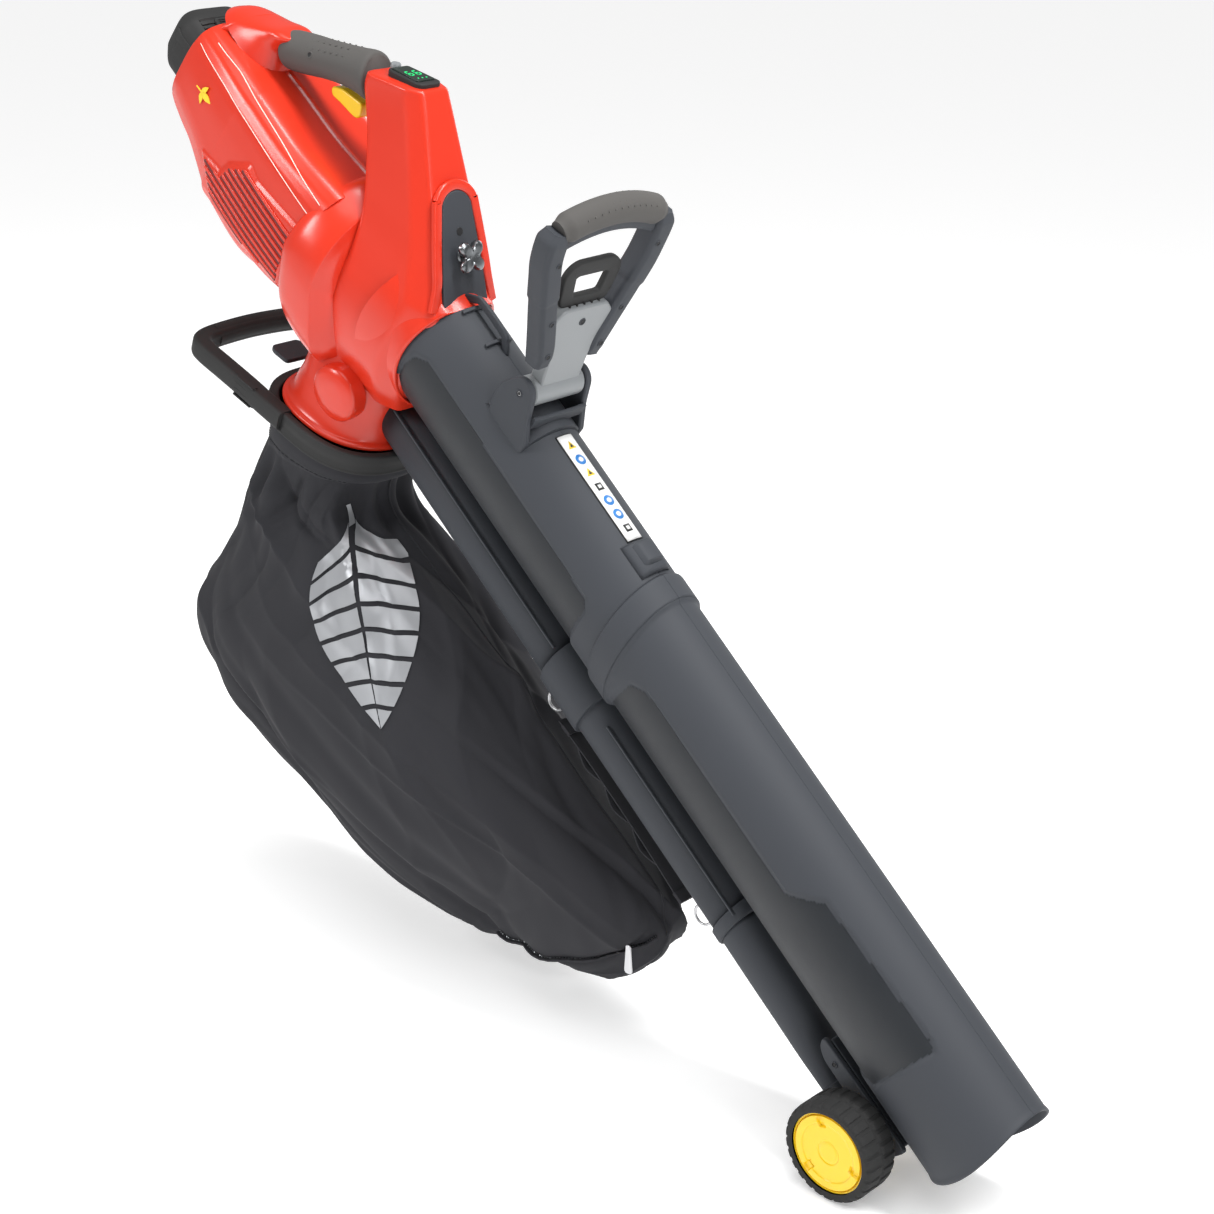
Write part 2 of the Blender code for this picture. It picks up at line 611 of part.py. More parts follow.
def make_handle_bracket():
    """A saddle on the suction tube with two ears that carry the hinge pin."""
    x, z = HINGE
    rings = []
    for dx in (-0.020, 0.036):
        ring = []
        for y, dz in oval(SUCTION_HALF_WIDTH + GAP, SUCTION_HALF_HEIGHT + GAP, 2.0, 13,
                          math.radians(40), math.radians(140)):
            ring.append((x + dx, y, SUCTION_Z + dz))
        rings.append(ring)
    saddle = loft("handle_bracket", rings, "tube_plastic", TOOL, caps=False, closed=False)
    wall = saddle.modifiers.new("wall", "SOLIDIFY")
    wall.thickness = 0.004
    wall.offset = 1.0
    outline = [(-0.020, -0.050), (0.036, -0.050), (0.036, -0.032), (0.016, 0.006),
               *arc((0, 0), 0.016, 30, 150, 7),
               (-0.018, -0.010)]
    for side in (-1, 1):
        ear = plate("ear", outline, 0.006, None, TOOL, (x, side * 0.0365, z), (math.pi / 2, 0, 0))
        join(saddle, ear)
    trim = [tube_ring(dx, SUCTION_HALF_WIDTH + GAP, SUCTION_HALF_HEIGHT + GAP, SUCTION_Z, count=36)
            for dx in (x - 0.05, x + 0.06)]
    core = loft("saddle_core", trim, None, TOOL)
    pin_hole = cylinder("pin_hole", 0.0053, 0.12, (x, 0, z), "Y", None, TOOL, 16)
    cut(saddle, core, pin_hole)
    cylinder("hinge_pin", 0.0050, 0.0805, (x, 0, z), "Y", "steel", TOOL, 16)


def make_front_handle():
    neck = box("handle_neck", (0.016, 0.050, 0.070), (0, 0, 0.030), "grey_plastic", HANDLE_FRAME, 0.003)
    barrel = cylinder("neck_barrel", 0.015, 0.0655, (0, 0, 0), "Y", None, HANDLE_FRAME, 20)
    pin_bore = cylinder("neck_bore", 0.0053, 0.12, (0, 0, 0), "Y", None, HANDLE_FRAME, 16)
    join(neck, barrel)
    cut(neck, pin_bore)
    foot_z = 0.048
    shoulder = HANDLE_LENGTH - 0.030
    outer = [(-HANDLE_FOOT_HALF - 0.004, foot_z), (HANDLE_FOOT_HALF + 0.004, foot_z),
             (HANDLE_FOOT_HALF + 0.010, foot_z + 0.020), (HANDLE_TOP_HALF + 0.010, shoulder),
             (HANDLE_TOP_HALF + 0.006, HANDLE_LENGTH - 0.010),
             (HANDLE_TOP_HALF - 0.010, HANDLE_LENGTH + 0.000),
             (-HANDLE_TOP_HALF + 0.010, HANDLE_LENGTH + 0.000),
             (-HANDLE_TOP_HALF - 0.006, HANDLE_LENGTH - 0.010),
             (-HANDLE_TOP_HALF - 0.010, shoulder), (-HANDLE_FOOT_HALF - 0.010, foot_z + 0.020)]
    inner = [(-HANDLE_FOOT_HALF - 0.002, foot_z + 0.034), (HANDLE_FOOT_HALF + 0.002, foot_z + 0.034),
             (HANDLE_TOP_HALF - 0.008, shoulder - 0.010), (HANDLE_TOP_HALF - 0.012, HANDLE_LENGTH - 0.011),
             (-HANDLE_TOP_HALF + 0.012, HANDLE_LENGTH - 0.011), (-HANDLE_TOP_HALF + 0.008, shoulder - 0.010)]
    frame = plate("handle_frame", outer, 0.020, "tube_plastic", HANDLE_FRAME,
                  rotation=(math.pi / 2, 0, math.pi / 2),
                  holes=(inner,))
    slot = box("neck_slot", (0.0166, 0.0506, 0.045), (0, 0, foot_z - 0.005 + 0.0173), None, HANDLE_FRAME)
    cut(frame, slot)
    grip_path = [(0, y, HANDLE_LENGTH + 0.016 - 0.012 * (y / HANDLE_TOP_HALF) ** 2)
                 for y in (-0.063, -0.038, 0.0, 0.038, 0.063)]
    rod("handle_grip", grip_path, 0.0145, "soft_grip", HANDLE_FRAME, 4)
    seat = rod("grip_seat", grip_path, 0.0145 + GAP, None, HANDLE_FRAME, 4)
    cut(frame, seat)
    loop_outer = [(-0.026, 0.0), (0.026, 0.0), (0.032, 0.042), (0.020, 0.050), (-0.020, 0.050),
                  (-0.032, 0.042)]
    loop_inner = [(-0.016, 0.014), (0.016, 0.014), (0.021, 0.034), (0.014, 0.039), (-0.014, 0.039),
                  (-0.021, 0.034)]
    plate("tilt_release", loop_outer, 0.012, "black_plastic", HANDLE_FRAME, (0, 0, foot_z + 0.038),
          (math.pi / 2, 0, math.pi / 2), 0.002, holes=(loop_inner,))


# ---------------------------------------------------------------- bag, its frame and straps

def make_bag_frame():
    length, width = BAG_RING
    top = 0.010
    section = [(-0.0045, top), (0.0045, top), (0.0045, -top), (-0.0045, -top)]
    rings = []
    for u, v in oval(1.0, 1.0, 2.6, 32):
        rings.append([((length + du) * u, (width + du) * v, dz) for du, dz in section])
    frame = loft("bag_frame", rings + [rings[0]], "black_plastic", BAG_FRAME, caps=False)
    side = width - 0.001
    loop_path = [(-0.020, -side, 0.0), (-0.075, -side, 0.0), (-0.152, -side, 0.0),
                 (-0.171, -side + 0.014, 0.0),
                 (-0.175, 0.0, 0.002), (-0.171, side - 0.014, 0.0), (-0.152, side, 0.0), (-0.075, side, 0.0),
                 (-0.020, side, 0.0)]
    loop = rod("carry_loop", loop_path, 0.0098, None, BAG_FRAME, 2)
    join(frame, loop)
    blow_room = cylinder("blow_room", BLOW_RADIUS + 2 * GAP, 0.200, (-0.250, 0, BLOW_Z), "X", None, TOOL, 28)
    cut(frame, blow_room)
    box("bag_catch", (0.030, 0.040, 0.005), (-0.016, 0.0, 0.0), "black_plastic", CATCH_FRAME, 0.0018)


def make_bag():
    """The hanging bag, open at its collar: level slices from the collar to the base."""
    slices = [  # height, rear end and front end from the tool frame's origin, and half width
        (0.084, -0.430, -0.300, 0.060),
        (0.050, -0.466, -0.276, 0.066),
        (0.000, -0.508, -0.216, 0.078),
        (-0.070, -0.566, -0.136, 0.092),
        (-0.140, -0.585, -0.058, 0.102),
        (-0.210, -0.542, 0.020, 0.098),
        (-0.262, -0.490, 0.078, 0.088),
        (-0.315, -0.425, 0.082, 0.072),
        (-0.360, -0.340, 0.045, 0.050),
        (-0.395, -0.240, -0.010, 0.028),
    ]
    rings = []
    for height, rear, front, half_width in slices:
        centre = (rear + front) / 2
        rings.append([(centre + u, v, height) for u, v in oval((front - rear) / 2, half_width, 2.2, 28)])
    loft("collection_bag", rings, "bag_fabric", HANGING, caps="end", thickness=0.003)


def make_bag_fittings():
    top_edge = [(0.046, -0.1300), (0.100, -0.1270), (0.200, -0.1270), (0.258, -0.1300)]
    lower_edge = [(x, z - 0.0018) for x, z in reversed(top_edge)]
    plate("bag_strap", top_edge + lower_edge, 0.025, "webbing", TOOL, rotation=(math.pi / 2, 0, 0))
    for name, x, z in (("hook_ring_upper", 0.026, -0.1310), ("hook_ring_lower", 0.278, -0.1265)):
        ring_points = [(0.010 * math.cos(math.radians(a)), 0, 0.010 * math.sin(math.radians(a)))
                       for a in range(0, 360, 24)]
        rod(name, ring_points, 0.0014, "steel", TOOL, 1, (x, 0, z), cyclic=True)
    pull = [(-0.0025, 0.0), (0.0025, 0.0), (0.0035, -0.012), (0.0045, -0.030), (-0.0045, -0.030),
            (-0.0035, -0.012)]
    plate("zipper_pull", pull, 0.0018, "steel", HANGING, (0.068, -0.043, -0.316), (math.pi / 2, 0, 0))


# ---------------------------------------------------------------- wheels

def make_wheels():
    bracket_outline = [(0.440, -0.052), (0.560, -0.052), (0.556, -0.066), (0.534, -0.091), (0.510, -0.091),
                       (0.494, -0.078), (0.494, -0.070), (0.440, -0.070)]
    bracket = plate("axle_bracket", bracket_outline, 0.062, "tube_plastic", TOOL, (0, 0, 0),
                    (math.pi / 2, 0, 0), 0.003)
    axle_hole = cylinder("axle_hole", 0.0043, 0.20, (WHEEL_X, 0, WHEEL_Z), "Y", None, TOOL, 16)
    core = loft("bracket_core", [tube_ring(x, SUCTION_HALF_WIDTH + 0.0015, SUCTION_HALF_HEIGHT + 0.0005,
                                           SUCTION_Z,
                                           count=36) for x in (0.40, 0.62)], None, TOOL)
    nozzle_room = box("nozzle_room", (0.060, 0.080, 0.040), (0.4545, 0, -0.0885), None, TOOL)
    cut(bracket, axle_hole, core, nozzle_room)
    cylinder("axle", 0.0040, 2 * (WHEEL_INNER_Y + WHEEL_WIDTH) - 0.0115, (WHEEL_X, 0, WHEEL_Z), "Y",
             "steel", TOOL, 16)
    half = WHEEL_WIDTH / 2
    rim_radius = 0.0385
    for side, sign, axis in (("left", 1, "Y"), ("right", -1, "-Y")):
        y = sign * (WHEEL_INNER_Y + half)
        turned("tyre_" + side,
               [(WHEEL_RADIUS - 0.004, half), (WHEEL_RADIUS, half - 0.005), (WHEEL_RADIUS, -half + 0.005),
                (WHEEL_RADIUS - 0.004, -half), (rim_radius + GAP, -half), (rim_radius + GAP, half)],
               (WHEEL_X, y, WHEEL_Z), axis, "tyre_rubber", TOOL, 32)
        face = half - 0.001
        turned("rim_" + side,
               [(0.0, face), (rim_radius, face), (rim_radius, -face), (rim_radius - 0.003, -face),
                (rim_radius - 0.003, face - 0.004), (0.0085, face - 0.004), (0.0085, -face), (0.0043, -face),
                (0.0043, face - 0.004), (0.0, face - 0.004)],
               (WHEEL_X, y, WHEEL_Z), axis, "yellow_plastic", TOOL, 32, closed=False)


# ---------------------------------------------------------------- assembly

TOOL = make_empty("tool_frame", TOOL_ORIGIN, (0.0, TOOL_TILT, 0.0))
BAG_FRAME = make_empty("bag_frame_plane", (BAG_PLANE[0], 0, BAG_PLANE[1]), (0, -BAG_PLANE_TILT, 0), TOOL)
HANGING = make_empty("hanging_frame", TOOL_ORIGIN)
CATCH_FRAME = make_empty("catch_hinge", (-0.089, 0, 0.0135), parent=BAG_FRAME)
TRIGGER_FRAME = make_empty("trigger_hinge", (-0.5570, 0, 0.0968), parent=TOOL)
HANDLE_FRAME = make_empty("handle_hinge", (HINGE[0], 0, HINGE[1]), (0, HANDLE_LEAN, 0), TOOL)

make_motor_housing()
make_rear_rim()
make_battery()
make_motor()
make_impeller()
make_scroll()
make_outlet()
make_tower()
make_rear_riser()
make_main_grip()
make_trigger()
make_controls()
make_suction_tubes()
make_blow_tubes()
make_tube_webs()
make_tongue_and_knob()
make_tube_fittings()
make_handle_bracket()
make_front_handle()
make_bag_frame()
make_bag()
make_bag_fittings()
make_wheels()
bpy.context.view_layer.update()
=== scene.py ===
"""Looks for the leaf blower: an add-on that dresses its frame with finished pieces, floor, light and camera.

Pieces are laid out in the tool's own frame: +X along the tubes to the nozzle, +Y to the user's left and +Z
from the blow tube to the handles. Lengths are in metres.
"""

import json
import math

import bmesh
import bpy
import numpy as np
from bpy.props import FloatProperty, FloatVectorProperty, PointerProperty
from mathutils import Matrix, Vector
from mathutils.bvhtree import BVHTree

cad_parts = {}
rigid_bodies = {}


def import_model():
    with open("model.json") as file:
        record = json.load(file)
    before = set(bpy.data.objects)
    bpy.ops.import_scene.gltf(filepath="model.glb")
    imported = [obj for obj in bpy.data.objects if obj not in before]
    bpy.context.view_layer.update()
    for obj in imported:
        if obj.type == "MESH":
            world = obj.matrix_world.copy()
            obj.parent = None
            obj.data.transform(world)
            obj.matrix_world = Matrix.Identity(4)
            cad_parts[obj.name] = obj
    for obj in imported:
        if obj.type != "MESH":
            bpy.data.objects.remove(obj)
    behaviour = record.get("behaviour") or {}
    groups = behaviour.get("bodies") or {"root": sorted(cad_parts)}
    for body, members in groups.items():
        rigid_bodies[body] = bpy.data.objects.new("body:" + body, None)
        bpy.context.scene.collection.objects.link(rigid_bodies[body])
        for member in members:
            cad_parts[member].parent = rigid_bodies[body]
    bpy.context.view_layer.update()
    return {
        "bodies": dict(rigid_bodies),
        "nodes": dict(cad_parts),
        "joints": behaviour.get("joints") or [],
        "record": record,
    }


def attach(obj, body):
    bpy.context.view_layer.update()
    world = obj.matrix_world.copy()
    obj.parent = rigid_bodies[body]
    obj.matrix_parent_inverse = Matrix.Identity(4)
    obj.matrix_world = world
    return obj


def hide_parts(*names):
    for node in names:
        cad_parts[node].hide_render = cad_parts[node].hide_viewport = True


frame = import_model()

bl_info = {
    "name": "Leaf Blower Looks",
    "version": (1, 0, 0),
    "blender": (4, 5, 0),
    "location": "View3D > Sidebar > Blower",
    "description": "Builds the finished pieces of a cordless wheeled leaf blower around its frame",
    "category": "Object",
}

# ---------------------------------------------------------------- driving dimensions

TOOL_TILT = math.radians(41.5)          # tubes below the horizontal
TOOL_ORIGIN = Vector((0.0444, 0.0, 0.45224))
TOOL = Matrix.Translation(TOOL_ORIGIN) @ Matrix.Rotation(TOOL_TILT, 4, "Y")
HANGING = Matrix.Translation(TOOL_ORIGIN)

TUBE_W = 0.053                          # half width of the suction tube
TUBE_H = 0.064                          # half height
TUBE_Z = 0.016
TUBE_START = -0.326
TUBE_JOINT = 0.055
TUBE_END = 0.6
JOINT_SLANT = 0.25
BLOW_R = 0.026
BLOW_Z = -0.087
WALL = 0.0025

FAN_Z = -0.005
BATTERY_REAR = -0.742
BATTERY_Z = -0.014
GRIP_REAR = Vector((-0.626, 0, 0.077))
GRIP_FRONT = Vector((-0.538, 0, 0.144))
TONGUE_SLOPE = math.radians(42.5)

HINGE = (-0.187, 0, 0.103)
HANDLE = TOOL @ Matrix.Translation(HINGE) @ Matrix.Rotation(math.radians(-16.7), 4, "Y")
HANDLE_TOP = 0.176
WHEEL_X = 0.522
WHEEL_Z = -0.078
WHEEL_R = 0.048
WHEEL_Y = 0.061
RIM_R = 0.0385

BAG_FRAME = TOOL @ Matrix.Translation((-0.338, 0, -0.1455)) @ Matrix.Rotation(math.radians(-20.5), 4, "Y")
RING_U = 0.078
RING_V = 0.075
FULL = 2 * math.pi


# ---------------------------------------------------------------- shader expressions

class Signal:
    """A value somewhere in a material, which can be added, multiplied and compared like a number."""

    def __init__(self, tree, socket):
        self.tree = tree
        self.socket = socket

    def math(self, operation, *values):
        node = self.tree.nodes.new("ShaderNodeMath")
        node.operation = operation
        for slot, value in zip(node.inputs, values):
            if isinstance(value, Signal):
                self.tree.links.new(value.socket, slot)
            else:
                slot.default_value = value
        return Signal(self.tree, node.outputs[0])

    def __add__(self, other):
        return self.math("ADD", self, other)

    def __sub__(self, other):
        return self.math("SUBTRACT", self, other)

    def __rsub__(self, other):
        return self.math("SUBTRACT", other, self)

    def __mul__(self, other):
        return self.math("MULTIPLY", self, other)

    __radd__ = __add__
    __rmul__ = __mul__


class Finish:
    """A Principled material and the nodes that vary it."""

    def __init__(self, name, colour, roughness, metallic=0.0, constants=None):
        self.material = bpy.data.materials.new(name)
        self.material.use_nodes = True
        self.tree = self.material.node_tree
        self.shader = self.tree.nodes["Principled BSDF"]
        self.colour = tuple(colour)
        self.set("Base Color", (*colour, 1.0))
        self.set("Roughness", roughness)
        self.set("Metallic", metallic)
        for socket, value in (constants or {}).items():
            self.set(socket, value)

    def set(self, socket, value):
        if isinstance(value, Signal):
            self.tree.links.new(value.socket, self.shader.inputs[socket])
        else:
            self.shader.inputs[socket].default_value = value

    def node(self, kind, settings=None, inputs=None, output=0):
        """Adds a node: its settings first, then its sockets, each a value or a Signal."""
        node = self.tree.nodes.new(kind)
        for key, value in (settings or {}).items():
            setattr(node, key, value)
        for key, value in (inputs or {}).items():
            if isinstance(value, Signal):
                self.tree.links.new(value.socket, node.inputs[key])
            else:
                node.inputs[key].default_value = value
        return Signal(self.tree, node.outputs[output])

    def place(self, scale=(1, 1, 1), turn=(0, 0, 0)):
        coordinates = self.node("ShaderNodeTexCoord", output=3)
        return self.node("ShaderNodeMapping", {}, {"Vector": coordinates, "Scale": scale, "Rotation": turn})

    def noise(self, scale, detail=3.0, stretch=(1, 1, 1), roughness=0.5):
        return self.node("ShaderNodeTexNoise", {}, {
            "Vector": self.place(stretch), "Scale": scale, "Detail": detail, "Roughness": roughness})

    def waves(self, scale, turn, distortion=0.0):
        return self.node("ShaderNodeTexWave", {"wave_type": "BANDS"}, {
            "Vector": self.place(turn=turn), "Scale": scale, "Distortion": distortion}, output=1)

    def tint(self, amount, other):
        """Base colour that drifts towards another colour by amount."""
        mixed = self.node("ShaderNodeMix", {"data_type": "RGBA"}, {
            0: amount, 6: (*self.colour, 1.0), 7: (*other, 1.0)}, output=2)
        self.set("Base Color", mixed)

    def bump(self, height, strength, distance=0.001):
        self.set("Normal", self.node("ShaderNodeBump", {}, {
            "Height": height, "Strength": strength, "Distance": distance}))


def moulded(name, colour, roughness, grain=900.0, grain_strength=0.05, shade=0.8, coat=0.0, metallic=0.0,
            tint=(1.0, 1.0, 1.0), shine=0.5):
    """Injection-moulded plastic: slow colour drift, handling marks in the gloss and a fine tool grain."""
    finish = Finish(name, colour, roughness, metallic, {"Coat Weight": coat, "Coat Roughness": 0.06,
                                                        "Specular Tint": (*tint, 1.0),
                                                        "Specular IOR Level": shine})
    drift = finish.noise(7.0, 4.0)
    rubbed = finish.noise(38.0, 6.0, roughness=0.65)
    finish.tint(drift * 0.35, tuple(c * shade for c in colour))
    finish.set("Roughness", roughness + (rubbed - 0.5) * 0.14)
    finish.bump(finish.noise(grain, 2.0), grain_strength, 0.0006)
    return finish


def soft_touch(name, colour):
    finish = Finish(name, colour, 0.62, 0.0, {"Sheen Weight": 0.12, "Specular IOR Level": 0.35})
    dusty = finish.noise(22.0, 5.0)
    finish.tint(dusty * 0.5, tuple(c * 1.35 for c in colour))
    finish.set("Roughness", 0.56 + dusty * 0.16)
    finish.bump(finish.noise(1500.0, 2.0), 0.12, 0.0005)


def cloth(name, colour, pitch, sheen=0.35):
    """Plain weave: two crossed wave sets, with slubs and a dusty drift."""
    finish = Finish(name, colour, 0.86, 0.0, {"Sheen Weight": sheen, "Sheen Roughness": 0.45,
                                               "Specular IOR Level": 0.28})
    warp = finish.waves(pitch, (0.0, 0.0, 0.6), 0.4)
    weft = finish.waves(pitch, (0.0, math.pi / 2, 0.0), 0.4)
    slub = finish.noise(260.0, 3.0, (1, 1, 4))
    drift = finish.noise(6.0, 5.0)
    finish.tint(drift * 0.7 + slub * 0.15, tuple(c * 2.1 for c in colour))
    finish.set("Roughness", 0.8 + slub * 0.14)
    finish.bump(warp * 0.5 + weft * 0.5 + slub * 0.4, 0.35, 0.0008)


def metal(name, colour, roughness):
    finish = Finish(name, colour, roughness, 1.0)
    brushed = finish.noise(420.0, 3.0, (1, 1, 12))
    finish.set("Roughness", roughness + (brushed - 0.5) * 0.18)
    finish.bump(brushed, 0.04, 0.0004)


def build_finishes(settings):
    moulded("red_plastic", settings.body_colour, 0.2, 260.0, 0.004, 0.88, coat=0.05, tint=(1.0, 0.45, 0.35),
            shine=0.32)
    moulded("tube_plastic", settings.tube_colour, 0.25, 1500.0, 0.018, 0.82, shine=0.9)
    moulded("panel_plastic", tuple(c * 0.42 for c in settings.tube_colour), 0.52, 1200.0, 0.16, 0.8)
    moulded("black_plastic", (0.013, 0.014, 0.016), 0.4, 1300.0, 0.1, 0.8)
    moulded("yellow_plastic", settings.accent_colour, 0.26, 400.0, 0.02, 0.9, coat=0.4)
    moulded("grey_plastic", (0.15, 0.158, 0.16), 0.36, 1300.0, 0.08, 0.85)
    moulded("label_film", (0.72, 0.72, 0.7), 0.35, 500.0, 0.02, 0.95)
    moulded("label_ink", (0.02, 0.02, 0.02), 0.45, 500.0, 0.02, 0.9)
    moulded("label_blue", (0.03, 0.2, 0.55), 0.4, 500.0, 0.02, 0.9)
    moulded("label_yellow", (0.85, 0.6, 0.02), 0.4, 500.0, 0.02, 0.9)
    # pale pink-white strip colour: painted highlight for the gleam along the housing's flank creases
    moulded("pale_line", (0.85, 0.62, 0.55), 0.25, 500.0, 0.01, 0.95)
    moulded("display_window", (0.01, 0.022, 0.018), 0.08, 300.0, 0.01, 0.8, coat=1.0)
    moulded("silver_print", (0.4, 0.41, 0.43), 0.42, 700.0, 0.1, 0.45, metallic=0.5)
    # dark red for the strips between the louvre slats: painted shade of the vent slots
    moulded("louvre_shade", (0.13, 0.004, 0.003), 0.5, 500.0, 0.02, 0.9)
    # near-black for well floors, the keyhole and the loop roots: painted shade where those hollows fall dark
    moulded("dark_recess", (0.004, 0.004, 0.005), 0.6, 900.0, 0.05, 0.8)
    glow = Finish("display_digits", (0.01, 0.35, 0.1), 0.4, 0.0,
                  {"Emission Color": (0.02, 0.75, 0.22, 1.0), "Emission Strength": 0.9})
    glow.set("Roughness", 0.35 + glow.noise(200.0) * 0.1)
    soft_touch("soft_grip", settings.grip_colour)
    tyre = Finish("tyre_rubber", (0.014, 0.014, 0.015), 0.72, 0.0, {"Specular IOR Level": 0.35})
    dust = tyre.noise(30.0, 6.0)
    tyre.tint(dust * 0.5, (0.05, 0.047, 0.043))
    tyre.set("Roughness", 0.62 + dust * 0.2)
    tyre.bump(tyre.noise(900.0, 2.0), 0.2, 0.0006)
    cloth("bag_fabric", settings.fabric_colour, 420.0)
    cloth("webbing", (0.02, 0.02, 0.022), 300.0, sheen=0.3)
    metal("steel", (0.4, 0.4, 0.42), 0.26)
    metal("knob_metal", (0.2, 0.21, 0.22), 0.3)


# ---------------------------------------------------------------- mesh tools

def full_turn(count):
    """Angles of one whole turn."""
    return np.arange(count) * FULL / count


def bulged(wave, power):
    """A sine or cosine raised to a power with its sign kept, which squares off a round section."""
    return np.sign(wave) * np.abs(wave) ** power


def tube_crown(y):
    """Height of the suction tube's upper surface at y."""
    return TUBE_Z + TUBE_H * np.sqrt(1 - (y / TUBE_W) ** 2)


def carried(points, frame):
    """Points given in a frame, in world coordinates."""
    return points @ np.array(frame.to_3x3()).T + np.array(frame.translation)


def add_object(name, data):
    obj = bpy.data.objects.new(name, data)
    bpy.context.scene.collection.objects.link(obj)
    return obj


def settle(obj, finish, body="housing", stands_for=(), sharp=38.0):
    """Gives a piece its finish and shading, and lets it ride on its body."""
    obj.data.materials.clear()
    obj.data.materials.append(bpy.data.materials[finish])
    obj.data.shade_smooth()
    obj.data.set_sharp_from_angle(angle=math.radians(sharp))
    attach(obj, body)
    if stands_for:
        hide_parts(*stands_for)
    return obj


def link_mesh(name, bm):
    bmesh.ops.remove_doubles(bm, verts=bm.verts[:], dist=1e-6)
    bmesh.ops.recalc_face_normals(bm, faces=bm.faces[:])
    mesh = bpy.data.meshes.new(name)
    bm.to_mesh(mesh)
    bm.free()
    return add_object(name, mesh)


def skin(name, points, around=True, caps=False, thickness=0.0, frame=TOOL, loop=False):
    """A quad surface through rows of points; rows may close around, and the last row may meet the first."""
    rows, count = points.shape[:2]
    placed = carried(points.reshape(-1, 3), frame)
    bm = bmesh.new()
    verts = [bm.verts.new(p) for p in placed]
    grid = [verts[i * count:(i + 1) * count] for i in range(rows)]
    for i in range(rows if loop else rows - 1):
        row = grid[i]
        following = grid[(i + 1) % rows]
        for j in range(count if around else count - 1):
            k = (j + 1) % count
            bm.faces.new((row[j], row[k], following[k], following[j]))
    if caps:
        bm.faces.new(grid[0])
        bm.faces.new(grid[-1])
    obj = link_mesh(name, bm)
    if thickness:
        wall = obj.modifiers.new("wall", "SOLIDIFY")
        wall.thickness = thickness
        wall.offset = -1.0
    return obj


def raised(points, height, around=True):
    """Moves each point out along the surface's normal by its height."""
    along = np.gradient(points, axis=0)
    if around:
        across = np.roll(points, -1, 1) - np.roll(points, 1, 1)
    else:
        across = np.gradient(points, axis=1)
    normal = np.cross(across, along)
    normal /= np.maximum(np.linalg.norm(normal, axis=2, keepdims=True), 1e-12)
    return points + normal * height[..., None]


def depth_inside(u, v, outline):
    """Signed distance to a closed outline, positive inside."""
    nearest = np.full(u.shape, 1e9)
    odd = np.zeros(u.shape, bool)
    for (ax, ay), (bx, by) in zip(outline, outline[1:] + outline[:1]):
        dx, dy = bx - ax, by - ay
        share = np.clip(((u - ax) * dx + (v - ay) * dy) / (dx * dx + dy * dy), 0, 1)
        nearest = np.minimum(nearest, np.hypot(u - ax - share * dx, v - ay - share * dy))
        crosses = (ay > v) != (by > v)
        odd ^= crosses & (u < ax + (v - ay) * dx / (dy if dy else 1e-12))
    return np.where(odd, nearest, -nearest)


def ease(value, low, high):
    share = np.clip((value - low) / (high - low), 0, 1)
    return share * share * (3 - 2 * share)


def blunt(corners, radius, steps=4):
    """Closed outline with each corner rounded by a curve of the same point count."""
    points = []
    corners = [np.array(c, float) for c in corners]
    for i, corner in enumerate(corners):
        before = corners[i - 1] - corner
        after = corners[(i + 1) % len(corners)] - corner
        reach = min(radius, np.linalg.norm(before) * 0.49, np.linalg.norm(after) * 0.49)
        start = corner + before / np.linalg.norm(before) * reach
        end = corner + after / np.linalg.norm(after) * reach
        for k in range(steps + 1):
            t = k / steps
            points.append((1 - t) ** 2 * start + 2 * t * (1 - t) * corner + t * t * end)
    return np.array(points)


def flow(stations, count):
    """Rows along a smooth curve through the given stations (Catmull-Rom)."""
    stations = np.asarray(stations, float)
    last = len(stations) - 1
    rows = []
    for s in np.linspace(0, last, count):
        i = min(int(s), last - 1)
        t = s - i
        a, b, c, d = (stations[min(max(k, 0), last)] for k in (i - 1, i, i + 1, i + 2))
        rows.append(0.5 * (2 * b + (c - a) * t + (2 * a - 5 * b + 4 * c - d) * t * t
                           + (3 * b - a - 3 * c + d) * t ** 3))
    return np.array(rows)


def sweep(name, path, section, up=(0, 0, 1), frame=TOOL, loop=False, sizes=None, caps=True):
    """Carries a closed section along a path; sizes scale it at each point."""
    path = np.asarray(path, float)
    section = np.asarray(section, float)
    if loop:
        tangent = np.roll(path, -1, 0) - np.roll(path, 1, 0)
    else:
        tangent = np.gradient(path, axis=0)
    tangent /= np.linalg.norm(tangent, axis=1, keepdims=True)
    side = np.cross(np.broadcast_to(np.array(up, float), tangent.shape), tangent)
    side /= np.linalg.norm(side, axis=1, keepdims=True)
    lift = np.cross(tangent, side)
    scale = np.ones((len(path), 2)) if sizes is None else np.asarray(sizes, float)
    rings = (path[:, None, :] + side[:, None, :] * (section[None, :, 0] * scale[:, :1])[..., None]
             + lift[:, None, :] * (section[None, :, 1] * scale[:, 1:])[..., None])
    return skin(name, rings, caps=caps and not loop, frame=frame, loop=loop)


def circle(radius, count=16, squash=1.0):
    turn = full_turn(count)
    return np.stack([radius * np.cos(turn), radius * squash * np.sin(turn)], 1)


def slab(width, height, radius, steps=3):
    """A rounded rectangle section."""
    w, h = width / 2, height / 2
    return blunt([(-w, -h), (w, -h), (w, h), (-w, h)], radius, steps)


